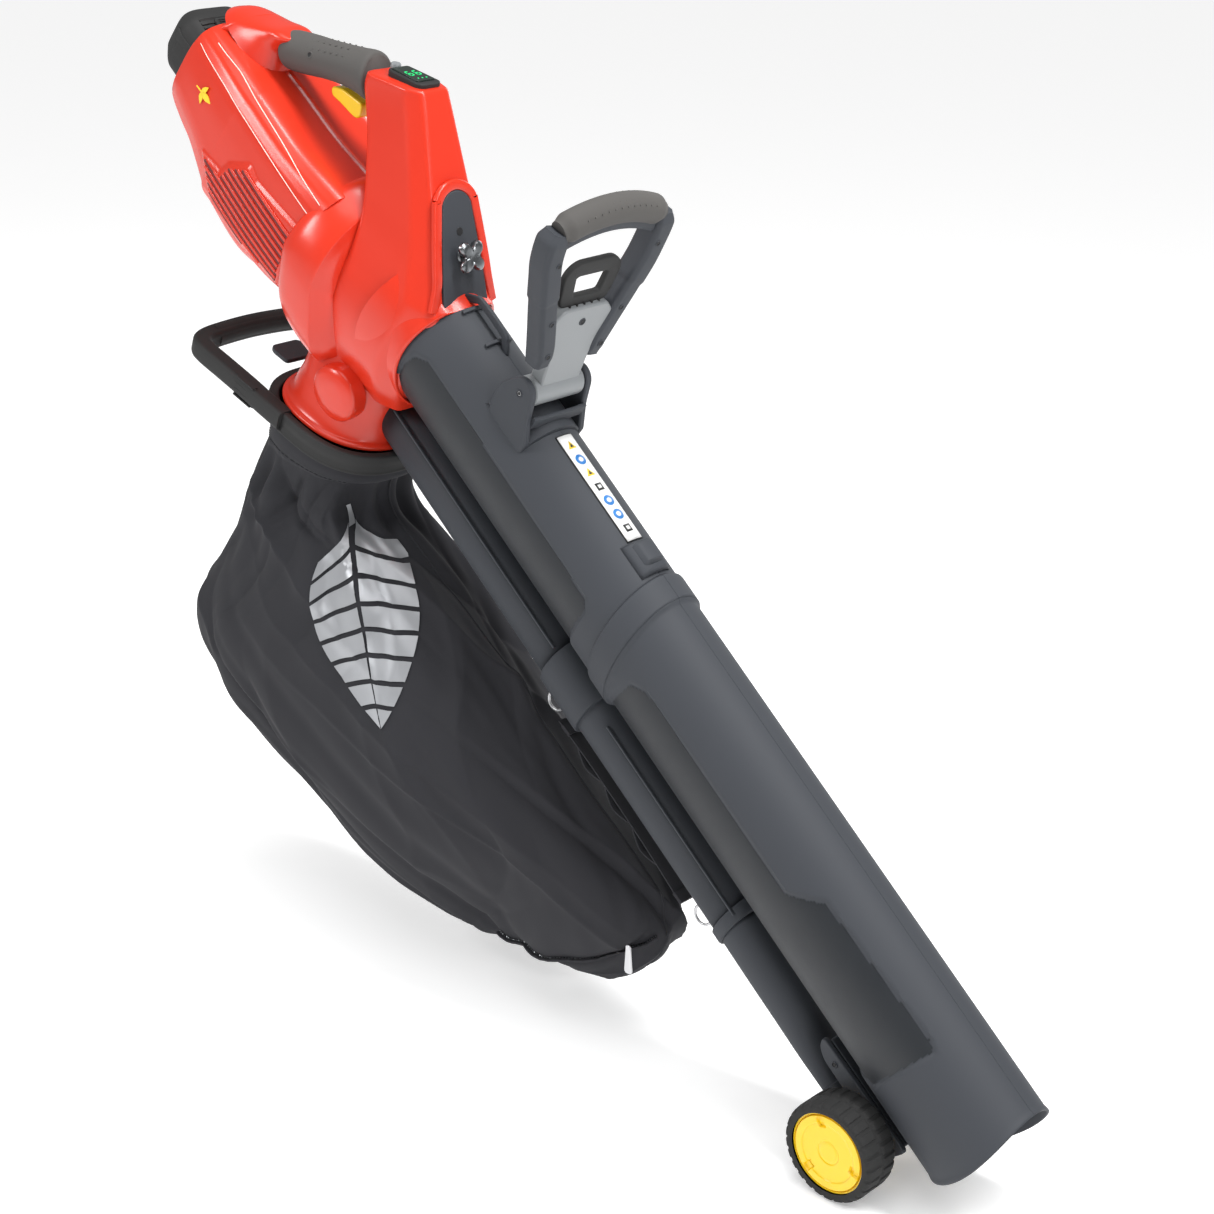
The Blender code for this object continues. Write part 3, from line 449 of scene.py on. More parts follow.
def lathe(name, profile, centre, axis, steps=64, frame=TOOL, relief=None):
    """Turns (radius, distance along the axis) pairs about an axis through centre."""
    axis = np.array(Vector(axis).normalized())
    side = np.array(Vector(axis).orthogonal().normalized())
    other = np.cross(axis, side)
    profile = np.asarray(profile, float)
    turn = full_turn(steps)
    ray = np.cos(turn)[:, None] * side + np.sin(turn)[:, None] * other
    points = (np.array(centre)[None, None, :] + profile[:, None, :1] * ray[None]
              + profile[:, None, 1:] * axis[None, None, :])
    if relief is not None:
        points = points + relief(profile, turn)[..., None] * ray[None]
    return skin(name, points, frame=frame)


def prism(name, outline, low, high, frame=TOOL, bevel=0.0008):
    """An outline in X and Y of the frame given, between two heights, with softened edges."""
    outline = np.asarray(outline, float)
    rows = [np.column_stack([outline, np.full(len(outline), h)]) for h in (low, high)]
    obj = skin(name, np.array(rows), caps=True, frame=frame)
    if bevel:
        soften(obj, bevel)
    return obj


def soften(obj, width, segments=2, angle=30.0):
    edge = obj.modifiers.new("edges", "BEVEL")
    edge.width = width
    edge.segments = segments
    edge.limit_method = "ANGLE"
    edge.angle_limit = math.radians(angle)
    edge.harden_normals = False


def merged(name, pieces):
    """Joins loose pieces of one material into a single object."""
    graph = bpy.context.evaluated_depsgraph_get()
    bm = bmesh.new()
    for piece in pieces:
        mesh = bpy.data.meshes.new_from_object(piece.evaluated_get(graph))
        mesh.transform(piece.matrix_world)
        bm.from_mesh(mesh)
        bpy.data.meshes.remove(mesh)
        bpy.data.objects.remove(piece)
    mesh = bpy.data.meshes.new(name)
    bm.to_mesh(mesh)
    bm.free()
    return add_object(name, mesh)


def facing(centre, normal, up=(0, 0, 1), frame=TOOL):
    """A local frame whose Z leaves a surface along normal."""
    z = Vector(normal).normalized()
    x = Vector(up).cross(z).normalized()
    y = z.cross(x)
    return frame @ Matrix.Translation(centre) @ Matrix((x, y, z)).transposed().to_4x4()


def screw_head(name, centre, normal, radius, body, frame=TOOL, finish="tube_plastic"):
    """A deep screw well: a thin lip around a near-black floor, painted shade for the well's depth, with a
    small screw at the bottom.
    """
    place = facing(centre, normal, frame=frame)
    lip = lathe(name + "_lip", [(radius * 0.8, 0.0), (radius * 0.86, 0.0006), (radius * 1.06, 0.0006),
                                (radius * 1.16, 0.0), (radius * 1.16, -0.001)], (0, 0, 0), (0, 0, 1), 28,
                                place)
    settle(lip, finish, body)
    floor = lathe(name, [(0.0, 0.0002), (radius * 0.42, 0.0002), (radius * 0.5, -0.0001),
                         (radius * 0.86, 0.00015),
                         (radius * 0.86, -0.001)], (0, 0, 0), (0, 0, 1), 28, place)
    return settle(floor, "dark_recess", body)


def leaf_outline(length, width, count=14):
    """A pointed leaf along +X, from its stalk to its tip."""
    t = np.linspace(0, 1, count)
    bulge = width / 2 * np.sin(math.pi * t ** 0.8) ** 1.1
    upper = np.column_stack([t * length, bulge])
    return np.concatenate([upper, upper[-2:0:-1] * (1, -1)])


# ---------------------------------------------------------------- tubes

def tube_rows(starts, ends, step, half_width, half_height, around_step=0.0022):
    """Rings of an oval tube between two end curves, which are functions of (y, z), bunched at the seam."""
    count = int(math.pi * (half_width + half_height) / around_step)
    turn = full_turn(count)
    seam = math.pi / 2
    offsets = np.array([-0.022, -0.013, -0.006, 0.006, 0.013, 0.022])
    turn = turn[np.abs(turn - seam) > 0.03]
    turn = np.sort(np.concatenate([turn, seam + offsets]))
    y = half_width * np.cos(turn)
    z = TUBE_Z + half_height * np.sin(turn)
    first, last = starts(y, z), ends(y, z)
    rows = int((last.mean() - first.mean()) / step)
    share = np.linspace(0, 1, rows)[:, None]
    x = first[None] * (1 - share) + last[None] * share
    points = np.stack([x, np.broadcast_to(y, x.shape), np.broadcast_to(z, x.shape)], 2)
    return points, turn


def seam_groove(turn, shape, depth=0.0004):
    return -depth * (np.abs(turn - math.pi / 2) < 0.009)[None, :] * np.ones(shape)


def side_recess(points, outline, depth=0.0024, edge=0.0028):
    """A sunk panel on both flanks of the tube, outlined in X and Z."""
    inside = depth_inside(points[..., 0], points[..., 2], outline)
    flank = np.abs(points[..., 1]) > 0.02
    return -depth * ease(inside, -edge / 2, edge / 2) * flank


UPPER_PANEL = [(-0.2985, 0.012), (-0.294, 0.029), (-0.278, 0.0385), (-0.004, 0.0345), (0.006, 0.026),
               (0.01, -0.046), (-0.2985, -0.046)]
LOWER_PANEL = [(0.076, -0.046), (0.082, 0.022), (0.098, 0.0325), (0.318, 0.0345), (0.345, 0.0585),
               (0.492, 0.0645),
               (0.504, 0.062), (0.497, -0.02), (0.47, -0.046)]


def panel_inlay(name, points, outline, body="housing"):
    """The dull floor of a sunk panel, a hair above the tube's own surface there."""
    inside = depth_inside(points[..., 0], points[..., 2], outline)
    rows, count = points.shape[:2]
    placed = carried(points.reshape(-1, 3), TOOL)
    bm = bmesh.new()
    verts = [bm.verts.new(p) for p in placed]
    keep = (inside > 0.0016) & (np.abs(points[..., 1]) > 0.02)
    for i in range(rows - 1):
        for j in range(count):
            k = (j + 1) % count
            if keep[i, j] and keep[i, k] and keep[i + 1, j] and keep[i + 1, k]:
                bm.faces.new((verts[i * count + j], verts[i * count + k],
                              verts[(i + 1) * count + k], verts[(i + 1) * count + j]))
    loose = [v for v in bm.verts if not v.link_faces]
    bmesh.ops.delete(bm, geom=loose, context="VERTS")
    return settle(link_mesh(name, bm), "panel_plastic", body)


def build_upper_tube(settings):
    points, turn = tube_rows(lambda y, z: TUBE_START - 0.2 * (z - TUBE_Z),
                             lambda y, z: TUBE_JOINT - JOINT_SLANT * (z - TUBE_Z),
                             settings.detail, TUBE_W, TUBE_H)
    shaped = raised(points, side_recess(points, UPPER_PANEL) + seam_groove(turn, points.shape[:2]))
    tube = skin("suction_tube_upper_shell", shaped, thickness=WALL)
    settle(tube, "tube_plastic", stands_for=("suction_tube_upper",))
    panel_inlay("suction_tube_upper_panel", raised(shaped, np.full(points.shape[:2], 0.00025)), UPPER_PANEL)


def lower_end(y, z):
    return TUBE_END - 0.012 + 0.014 * (y / TUBE_W) ** 2 + 0.06 * (z - TUBE_Z)


def build_lower_tube(settings):
    start = TUBE_JOINT + 0.006
    points, turn = tube_rows(lambda y, z: start - JOINT_SLANT * (z - TUBE_Z), lower_end,
                             settings.detail, TUBE_W, TUBE_H)
    distance = points[..., 0] - (start - JOINT_SLANT * (points[..., 2] - TUBE_Z))
    shoulder = 0.003 * (1 - ease(distance, 0.0, 0.0045))
    lip = 0.0008 * ease(points[..., 0] - lower_end(points[..., 1], points[..., 2]), -0.006, -0.002)
    relief = side_recess(points, LOWER_PANEL) + seam_groove(turn, points.shape[:2]) + shoulder + lip
    shaped = raised(points, relief)
    tube = skin("suction_tube_lower_shell", shaped, thickness=WALL)
    settle(tube, "tube_plastic", stands_for=("suction_tube_lower",))
    panel_inlay("suction_tube_lower_panel", raised(shaped, np.full(points.shape[:2], 0.00025)), LOWER_PANEL)
    collar, turn = tube_rows(lambda y, z: start - 0.028 - JOINT_SLANT * (z - TUBE_Z),
                             lambda y, z: start + 0.0004 - JOINT_SLANT * (z - TUBE_Z),
                             0.002, TUBE_W + 0.0005, TUBE_H + 0.0005)
    across = np.linspace(0, 1, len(collar))[:, None]
    band = 0.0028 * ease(across, 0.0, 0.1) * np.ones(collar.shape[:2])
    ring = skin("joint_collar", raised(collar, band + seam_groove(turn, collar.shape[:2])), thickness=0.0025)
    settle(ring, "tube_plastic")


def pipe(name, profile, squash=1.0, steps=72, slant=0.0, thickness=WALL, stands_for=()):
    """A round pipe along X; its profile holds (x, radius across, radius up, centre height)."""
    turn = full_turn(steps)
    rows = []
    for x, across, up, z in profile:
        rows.append(np.stack([x - slant * up * np.sin(turn), across * np.cos(turn),
                              z + squash * up * np.sin(turn)], 1))
    return settle(skin(name, np.array(rows), thickness=thickness), "tube_plastic", stands_for=stands_for)


def collar_profile(start, end, low, high, z, edge=0.0025):
    return [(start, low, low, z), (start, high - 0.0008, high - 0.0008, z), (start + 0.0008, high, high, z),
            (end - edge, high, high, z), (end - edge * 0.3, high - 0.001, high - 0.001, z),
            (end, low, low, z)]


def build_blow_tube(settings):
    r, z = BLOW_R, BLOW_Z
    pipe("blow_tube_upper_shell", [(-0.318, r, r, z), (0.03, r, r, z)], stands_for=("blow_tube_upper",))
    pipe("blow_tube_mouth_ring", collar_profile(-0.32, -0.309, r, r + 0.0022, z), thickness=0.001)
    outer = r + 0.0048
    profile = [*collar_profile(0.004, 0.066, r + 0.0006, outer, z), (0.068, r + 0.0004, r + 0.0004, z),
               (0.304, r + 0.0004, r - 0.0006, z)]
    pipe("blow_tube_lower_shell", profile, slant=0.15, stands_for=("blow_tube_lower",))
    pipe("blow_tube_ring", collar_profile(0.296, 0.31, r + 0.0002, r + 0.0026, z - 0.0002), slant=0.15,
         thickness=0.001)
    nozzle = flow([(0.3065, r, r - 0.001, z), (0.35, r - 0.0004, r - 0.0015, z - 0.001),
                   (0.4, 0.0252, 0.0232, z - 0.002),
                   (0.44, 0.0263, 0.0183, z - 0.004), (0.482, 0.0292, 0.0133, z - 0.002)], 26)
    pipe("blow_nozzle_shell", [tuple(row) for row in nozzle], thickness=0.002, stands_for=("blow_nozzle",))
    lip = [(x, a + g, b + g, z - 0.002) for x, a, b,
           g in ((0.474, 0.0284, 0.014, 0.0), (0.475, 0.0286, 0.0139, 0.0012),
                                                        (0.4815, 0.0292, 0.0133, 0.0014),
                                                        (0.4826, 0.0292, 0.0133, 0.0))]
    pipe("blow_nozzle_lip", lip, thickness=0.0005)
    rail = slab(0.0036, 0.0022, 0.0008)
    for sign, side in ((-1, "right"), (1, "left")):
        for part, start, end in (("upper", -0.292, -0.004), ("lower", 0.088, 0.3)):
            path = [(x, sign * 0.0215, z + 0.019) for x in np.linspace(start, end, 12)]
            settle(sweep("blow_rail_%s_%s" % (part, side), path, rail), "tube_plastic")


def build_tube_fittings(settings):
    top = TUBE_Z + TUBE_H
    # latch block at the joint, a low saddle under a rounded cap
    for name, x0, x1, half, height in (("collar_latch_base", -0.022, 0.014, 0.019, 0.0055),
                                       ("collar_latch_cap", -0.019, 0.008, 0.0145, 0.0096)):
        rows = []
        for x, lift in ((x0, 0.0), (x0 + 0.003, 1.0), (x1 - 0.005, 1.0), (x1, 0.35)):
            y = np.linspace(-half, half, 15)
            crown = tube_crown(y)
            shape = height * lift * np.clip(1 - np.abs(y / half) ** 6, 0, 1)
            rows.append(np.stack([np.full(15, x), y, crown + shape + 0.0004], 1))
        stands = ("collar_latch",) if name.endswith("cap") else ()
        settle(skin(name, np.array(rows), around=False, thickness=0.002), "tube_plastic", stands_for=stands)
    # strap rib behind the handle bracket: a bent rib with flared feet
    path = [(-0.311, 0, top - 0.001), (-0.302, 0, top + 0.007), (-0.294, 0, top + 0.0115),
            (-0.258, 0, top + 0.0115),
            (-0.25, 0, top + 0.007), (-0.243, 0, top - 0.001)]
    settle(sweep("strap_rib_arch", flow(path, 28), slab(0.0075, 0.0042, 0.0012), up=(0, 1, 0)),
           "tube_plastic",
           stands_for=("strap_rib",))
    for i, x in enumerate((-0.296, -0.256)):
        foot = [(x, y, tube_crown(y) + 0.0016) for y in np.linspace(-0.016, 0.016, 11)]
        settle(sweep("strap_rib_foot_%d" % i, foot, slab(0.004, 0.0036, 0.001), up=(1, 0, 0)),
               "tube_plastic")


def build_label(settings):
    """A pale information plate with a row of plain coloured marks."""
    centre, length, width = -0.084, 0.12, 0.0185

    def on_tube(outline, lift):
        outline = np.asarray(outline)
        z = tube_crown(outline[:, 1]) + lift
        return np.column_stack([outline, z])

    def decal(name, outline, lift, finish, stands_for=()):
        bm = bmesh.new()
        placed = carried(on_tube(outline, lift), TOOL)
        middle = bm.verts.new(placed.mean(0))
        verts = [bm.verts.new(p) for p in placed]
        for i, vert in enumerate(verts):
            bm.faces.new((middle, vert, verts[(i + 1) % len(verts)]))
        obj = link_mesh(name, bm)
        wall = obj.modifiers.new("film", "SOLIDIFY")
        wall.thickness = 0.0002
        return settle(obj, finish, stands_for=stands_for)

    def strip(name, length, width, lift, finish, stands_for=()):
        x = np.linspace(-length / 2, length / 2, 20)
        y = np.linspace(-width / 2, width / 2, 9)
        rows = np.array([[(centre + a, b, tube_crown(b) + lift) for b in y] for a in x])
        return settle(skin(name, rows, around=False, thickness=0.0004), finish, stands_for=stands_for)

    strip("label_border", length + 0.0022, width + 0.0022, 0.0007, "label_ink")
    strip("label_sheet", length, width, 0.001, "label_film", ("label_plate",))
    inks = ("label_yellow", "label_blue", "label_yellow", "label_ink", "label_blue", "label_blue",
            "label_ink")
    for i, ink in enumerate(inks):
        x = centre - length / 2 + 0.0125 + i * 0.0158
        sides = 3 if ink == "label_yellow" else (20 if ink == "label_blue" else 4)
        turn = full_turn(sides) + math.pi / sides
        mark = np.column_stack([x + 0.0056 * np.cos(turn), 0.0056 * np.sin(turn)])
        decal("label_mark_%d" % i, mark, 0.0013, ink)
        inner = np.column_stack([x + 0.0026 * np.cos(turn), 0.0026 * np.sin(turn)])
        decal("label_mark_core_%d" % i, inner, 0.0016, "label_ink" if sides == 3 else "label_film")


# ---------------------------------------------------------------- wheels and their bracket

def build_wheels(settings):
    for side, sign in (("left", 1), ("right", -1)):
        body = "wheel_" + side
        centre = (WHEEL_X, sign * WHEEL_Y, WHEEL_Z)
        r = WHEEL_R
        crown = [(RIM_R + 0.0002, -0.0195), (RIM_R + 0.004, -0.02), (r - 0.005, -0.0198)]
        shoulder = [(r - 0.005 + 0.0034 * math.sin(a), -0.0198 + 0.006 * (1 - math.cos(a)))
                    for a in np.linspace(0.2, 1.57, 7)]
        half = crown + shoulder
        tread = [(r - 0.0014, w) for w in np.linspace(-0.0125, 0.0125, 21)]
        profile = np.array(half + tread + [(a, -b) for a, b in reversed(half)])

        def lugs(profile, turn):
            """Two rows of rounded blocks, half a pitch apart, that wrap over the shoulders."""
            pitch = 26
            height = np.zeros((len(profile), len(turn)))
            for i, (radius, width) in enumerate(profile):
                if radius < WHEEL_R - 0.0055:
                    continue
                row = 0.0 if width < 0 else 0.5
                phase = (turn / FULL * pitch + row) % 1.0
                block = ease(0.36 - np.abs(phase - 0.5), 0.0, 0.05)
                middle = ease(abs(width), 0.001, 0.0024)
                height[i] = 0.0013 * block * middle
            return height

        tyre = lathe("tyre_%s_tread" % side, profile, centre, (0, 1, 0), 520, relief=lugs)
        settle(tyre, "tyre_rubber", body, ("tyre_" + side,), 50)
        hub = Matrix.Translation(centre) @ (Matrix.Rotation(math.pi / 2 if sign < 0 else -math.pi / 2, 4,
                                                            "X"))
        place = TOOL @ hub
        radii = np.concatenate([np.linspace(0.0, 0.028, 24), np.linspace(0.0286, RIM_R, 18)])
        turn = full_turn(240)
        grid_r, grid_t = np.meshgrid(radii, turn, indexing="ij")
        face = 0.0172 + 0.0012 * ease(grid_r, 0.0275, 0.029) - 0.003 * ease(grid_r, 0.0355, 0.0362)
        face += 0.0022 * ease(grid_r, 0.0366, 0.0372)
        face -= 0.0008 * (1 - ease(np.abs(grid_r - 0.0105), 0.0003, 0.0011))
        for k in range(3):
            angle = FULL * k / 3 + 0.5
            off = np.abs((grid_t - angle + math.pi) % FULL - math.pi)
            notch = (1 - ease(off * grid_r, 0.003,
                              0.004)) * ease(grid_r, 0.0245, 0.0255) * (1 - ease(grid_r, 0.0345, 0.0355))
            face -= 0.0026 * notch
        points = np.stack([grid_r * np.cos(grid_t), grid_r * np.sin(grid_t), face], 2)
        rim_back = np.stack([np.full_like(turn, RIM_R) * np.cos(turn), RIM_R * np.sin(turn),
                             np.full_like(turn, -0.0185)], 1)
        points = np.concatenate([points, rim_back[None]], 0)
        settle(skin("rim_%s_disc" % side, points, frame=place), "yellow_plastic", body, ("rim_" + side,), 30)
        settle(lathe("rim_%s_back" % side,
                     [(0.0048, -0.014), (0.009, -0.014), (0.0092, -0.006), (RIM_R - 0.003, -0.0045),
                                            (RIM_R - 0.0026, -0.0186), (RIM_R, -0.0186)], (0, 0, 0), (0, 0,
                                            1), 72, place),
               "yellow_plastic", body)
    path = [(WHEEL_X, y, WHEEL_Z) for y in (-0.0765, -0.04, 0.0, 0.04, 0.0765)]
    settle(sweep("axle_rod", path, circle(0.004, 20), frame=TOOL), "steel", stands_for=("axle",))
    # two cheek plates with a cross tube and a window rib
    outline = blunt([(0.436, -0.05), (0.56, -0.046), (0.556, -0.066), (0.536, -0.092), (0.508, -0.092),
                     (0.492, -0.076),
                     (0.486, -0.066), (0.452, -0.066), (0.44, -0.06)], 0.006)
    upright = TOOL @ Matrix.Rotation(math.pi / 2, 4, "X")
    for side, y in (("right", 0.0312), ("left", -0.0258)):
        settle(prism("axle_cheek_" + side, outline, y - 0.0054 if y > 0 else y - 0.0,
                     y if y > 0 else y + 0.0054,
                     upright, 0.001), "tube_plastic")
    settle(lathe("axle_boss", [(0.0, -0.031), (0.0105, -0.031), (0.0118, -0.0298), (0.0118, 0.0298),
                               (0.0105, 0.031),
                               (0.0, 0.031)], (WHEEL_X, 0, WHEEL_Z), (0, 1, 0), 40), "tube_plastic",
           stands_for=("axle_bracket",))
    core = blunt([(0.4405, -0.0495), (0.556, -0.047), (0.548, -0.068), (0.532, -0.078), (0.512, -0.078),
                  (0.496, -0.066),
                  (0.446, -0.0625)], 0.004)
    settle(prism("axle_web", core, -0.0245, 0.0245, upright, 0.0008), "tube_plastic")
    for side, y in (("right", -0.0316), ("left", 0.0316)):
        screw_head("axle_screw_" + side, (0.462, y, -0.0575), (0, 1 if y > 0 else -1, 0), 0.0028, "housing")


# ---------------------------------------------------------------- motor housing and fan scroll

HOUSING_STATIONS = [  # x, half width, top and underside
    (-0.694, 0.0545, 0.045, -0.064), (-0.684, 0.057, 0.0475, -0.0665), (-0.664, 0.0605, 0.0505, -0.07),
    (-0.64, 0.064, 0.053, -0.074), (-0.605, 0.0675, 0.055, -0.09), (-0.59, 0.068, 0.056, -0.1),
    (-0.53, 0.07, 0.058, -0.104), (-0.485, 0.07, 0.064, -0.09), (-0.455, 0.069, 0.068, -0.08),
]
LOUVRE_PANEL = [(-0.611, -0.041), (-0.578, -0.034), (-0.574, -0.018), (-0.55, 0.007), (-0.533, 0.003),
                (-0.462, 0.014), (-0.455, -0.062), (-0.575, -0.078), (-0.59, -0.06)]


def housing_section(x, half, top, bottom):
    """Half of the barrel's section from its top to its underside, with two creases on the flank."""
    corners = [(0.0, top), (half * 0.72, top - 0.0015), (half * 0.9, top * 0.8), (half * 0.975, top * 0.56),
               (half, 0.0), (half * 0.985, bottom * 0.52), (half * 0.86, bottom * 0.86),
               (half * 0.55, bottom), (0.0, bottom)]
    share = np.linspace(0, 1, 22)[:-1, None]
    corners = [np.array(c) for c in corners]
    points = np.vstack([a + (b - a) * share for a, b in zip(corners, corners[1:])] + [corners[-1][None]])
    kernel = np.ones(13) / 13
    smooth = np.column_stack([np.convolve(np.pad(points[:, k], 6, mode="edge"), kernel, "valid")
                              for k in (0, 1)])
    smooth[0] = corners[0]
    smooth[-1] = corners[-1]
    return np.column_stack([np.full(len(smooth), x), smooth])


def flank_width(points, x, z):
    """Half width of the barrel at one place on its flank."""
    row = points[np.argmin(np.abs(points[:, 0, 0] - x))]
    return float(np.interp(z, row[::-1, 2], row[::-1, 1]))


def build_housing(settings):
    points = flow([housing_section(*s) for s in HOUSING_STATIONS], 250)
    x, z = points[..., 0], points[..., 2]
    panel = ease(depth_inside(x, z, LOUVRE_PANEL), -0.0035, 0.0035)
    ledge = ease(-z, 0.074, 0.079) * ease(x, -0.6, -0.58)
    shaped = raised(points, -0.0026 * panel + 0.0024 * ledge, around=False)
    for side, sign in (("left", 1), ("right", -1)):
        half = shaped * (1, sign, 1) + np.array((0, sign * 0.0003, 0))
        obj = skin("housing_%s_shell" % side, half if sign > 0 else half[:, ::-1], around=False,
                   thickness=0.0022)
        settle(obj, "red_plastic", stands_for=("motor_housing_" + side,), sharp=24)
        slats, gaps = [], []
        # each row is a raised red slat and, just below it, a thin dark red strip of painted shade standing
        # in for the shade in the vent slot
        for k in range(9):
            row_z = 0.0 - 0.0078 * k
            for drop, group, section, lift in ((0.0, slats, slab(0.0016, 0.0034, 0.0006), 0.0009),
                                               (0.0038, gaps, slab(0.0014, 0.003, 0.0004), 0.0001)):
                place_z = row_z - drop
                span = np.arange(-0.608, -0.452, 0.002)
                span = span[depth_inside(span, np.full(span.shape, place_z), LOUVRE_PANEL) > 0.0036]
                if len(span) < 4:
                    continue
                path = [(px, sign * (flank_width(shaped, px, place_z) + lift), place_z) for px in span]
                group.append(sweep("slat", path, section, up=(0, 0, 1)))
        settle(merged("housing_%s_slats" % side, slats), "red_plastic")
        settle(merged("housing_%s_gaps" % side, gaps), "louvre_shade")
        # two thin pale strips along each flank's creases: painted highlights standing in for the gleam on
        # the crease edges
        for k, (row_z, x0, x1) in enumerate(((0.0335, -0.686, -0.458), (0.05, -0.672, -0.462))):
            path = []
            for px in np.linspace(x0, x1, 16):
                pz = row_z - 0.0035 * (1 - ease(px, -0.69, -0.62)) * (k + 1)
                path.append((px, sign * (flank_width(points, px, pz) + 0.0002), pz))
            settle(sweep("housing_%s_line_%d" % (side, k), flow(path, 70), slab(0.0011, 0.0008, 0.0003)),
                   "pale_line")
        build_emblem("emblem_leaf_" + side, (-0.648, sign * 0.0655, 0.004), (0.06, sign, 0.02), 0.017,
                     "label_yellow", "housing")
    turn = full_turn(96)
    c, s = np.cos(turn), np.sin(turn)
    cy = bulged(c, 2 / 3.4)
    cz = bulged(s, 2 / 3.4)
    rim = []
    for x0, grow in ((-0.684, 0.0052), (-0.6945, 0.0046), (-0.6966, 0.003), (-0.697, 0.0), (-0.6955, -0.003),
                     (-0.67, -0.004)):
        rim.append(np.column_stack([np.full(96, x0), (0.05 + grow) * cy, -0.0095 + (0.0505 + grow) * cz]))
    settle(skin("rear_rim_lip", np.array(rim)), "red_plastic", stands_for=("rear_rim",))


def build_emblem(name, centre, normal, size, finish, body, frame=TOOL, turn=0.0):
    """A plain sprig of three leaves, as a thin printed shape."""
    place = facing(centre, normal, frame=frame) @ Matrix.Rotation(turn, 4, "Z")
    bits = []
    for angle, scale in ((0.0, 1.0), (1.15, 0.72), (-1.15, 0.72)):
        outline = leaf_outline(size * scale, size * 0.42 * scale)
        spun = outline @ np.array([[math.cos(angle), math.sin(angle)], [-math.sin(angle), math.cos(angle)]])
        bits.append(prism("bit", spun, -0.0006, 0.0003, place, 0))
    stalk = np.array([(-size * 0.5, -size * 0.03), (0.0, -size * 0.03), (0.0, size * 0.03),
                      (-size * 0.5, size * 0.03)])
    bits.append(prism("bit", stalk, -0.0006, 0.0003, place, 0))
    return settle(merged(name, bits), finish, body)


def build_scroll(settings):
    """The fan's hood, which leans forward and widens towards the outlet, and the neck in front of it."""
    turn = full_turn(240)
    down = np.clip(-np.sin(turn), 0, 1)
    rise = np.clip(np.sin(turn), 0, 1)
    profile = [(0.0, 0.052), (0.01, 0.064), (0.05, 0.0735), (0.14, 0.08), (0.3, 0.0838), (0.55, 0.0845),
               (0.74, 0.0832),
               (0.79, 0.0824), (0.8, 0.0819), (0.81, 0.0808), (0.86, 0.075), (0.92, 0.069), (0.96, 0.063),
               (1.0, 0.054)]
    rows = []
    for share, r in flow(profile, 72):
        rear = -0.472 + 0.034 * down ** 1.5 - 0.004 * rise
        front = -0.394 - 0.026 * rise + 0.05 * down
        grow = 1.0 + 0.16 * np.exp(-((down - 0.78) / 0.34) ** 2) * (down > 0)
        x = rear + (front - rear) * share
        rows.append(np.column_stack([x, r * grow * np.cos(turn), FAN_Z + r * grow * np.sin(turn)]))
    settle(skin("scroll_hood", np.array(rows)), "red_plastic", stands_for=("scroll_rear",), sharp=30)
    cover = [(-0.406, 0.048, 0.048, FAN_Z, 0.0), (-0.399, 0.056, 0.06, FAN_Z + 0.001, 0.0),
             (-0.374, 0.0585, 0.066, 0.006, 0.07), (-0.356, 0.058, 0.068, 0.012, 0.12),
             (-0.32, 0.057, 0.067, 0.016, 0.2)]
    rows = []
    for x, a, b, zc, slant in flow(cover, 60):
        rows.append(np.column_stack([x - slant * b * np.sin(turn), a * np.cos(turn), zc + b * np.sin(turn)]))
    settle(skin("scroll_front_cover", np.array(rows)), "red_plastic", stands_for=("scroll_front",), sharp=30)


def build_outlet(settings):
    """The elbow below the scroll, with a round boss on each flank and a flange on the bag's frame."""
    n = 72
    turn = full_turn(n)
    c, s = np.cos(turn), np.sin(turn)
    to_tool = TOOL.inverted() @ BAG_FRAME
    levels = [(0.01, 0.0742, 0.071, 0.0), (0.0128, 0.0742, 0.071, 0.0), (0.0145, 0.0725, 0.0692, 0.0),
              (0.0165, 0.069, 0.0665, 0.0), (0.023, 0.066, 0.064, 0.001), (0.034, 0.064, 0.062, 0.002),
              (0.048, 0.062, 0.06, 0.004), (0.064, 0.0605, 0.0575, 0.004), (0.08, 0.06, 0.054, 0.002),
              (0.098, 0.056, 0.048, -0.002)]
    rows = []
    for h, a, b, shift in flow(levels, 46):
        ring = np.column_stack([shift + a * bulged(c, 0.86), b * bulged(s, 0.86),
                                np.full(n, h)])
        rows.append(carried(ring, to_tool))
    settle(skin("outlet_elbow_shell", np.array(rows)), "red_plastic", stands_for=("outlet_elbow",), sharp=30)
    for side, sign in (("right", -1), ("left", 1)):
        place = facing((-0.336, sign * 0.0585, -0.085), (0.1, sign, -0.06))
        profile = [(0.0, 0.0085), (0.014, 0.008), (0.022, 0.0064), (0.0262, 0.0046), (0.0285, 0.002),
                   (0.0292, -0.004),
                   (0.0296, -0.012)]
        settle(lathe("outlet_boss_" + side, flow(profile, 26),
                     (0, 0, 0), (0, 0, 1), 80, place), "red_plastic")
        lip = [(-0.33, sign * 0.03, -0.062), (-0.326, sign * 0.036, -0.08), (-0.322, sign * 0.036, -0.098),
               (-0.32, sign * 0.028, -0.112)]
        settle(sweep("outlet_gusset_" + side, flow(lip, 20), slab(0.018, 0.01, 0.003), up=(1, 0, 0)),
               "red_plastic")


# ---------------------------------------------------------------- tower, grip, trigger and display

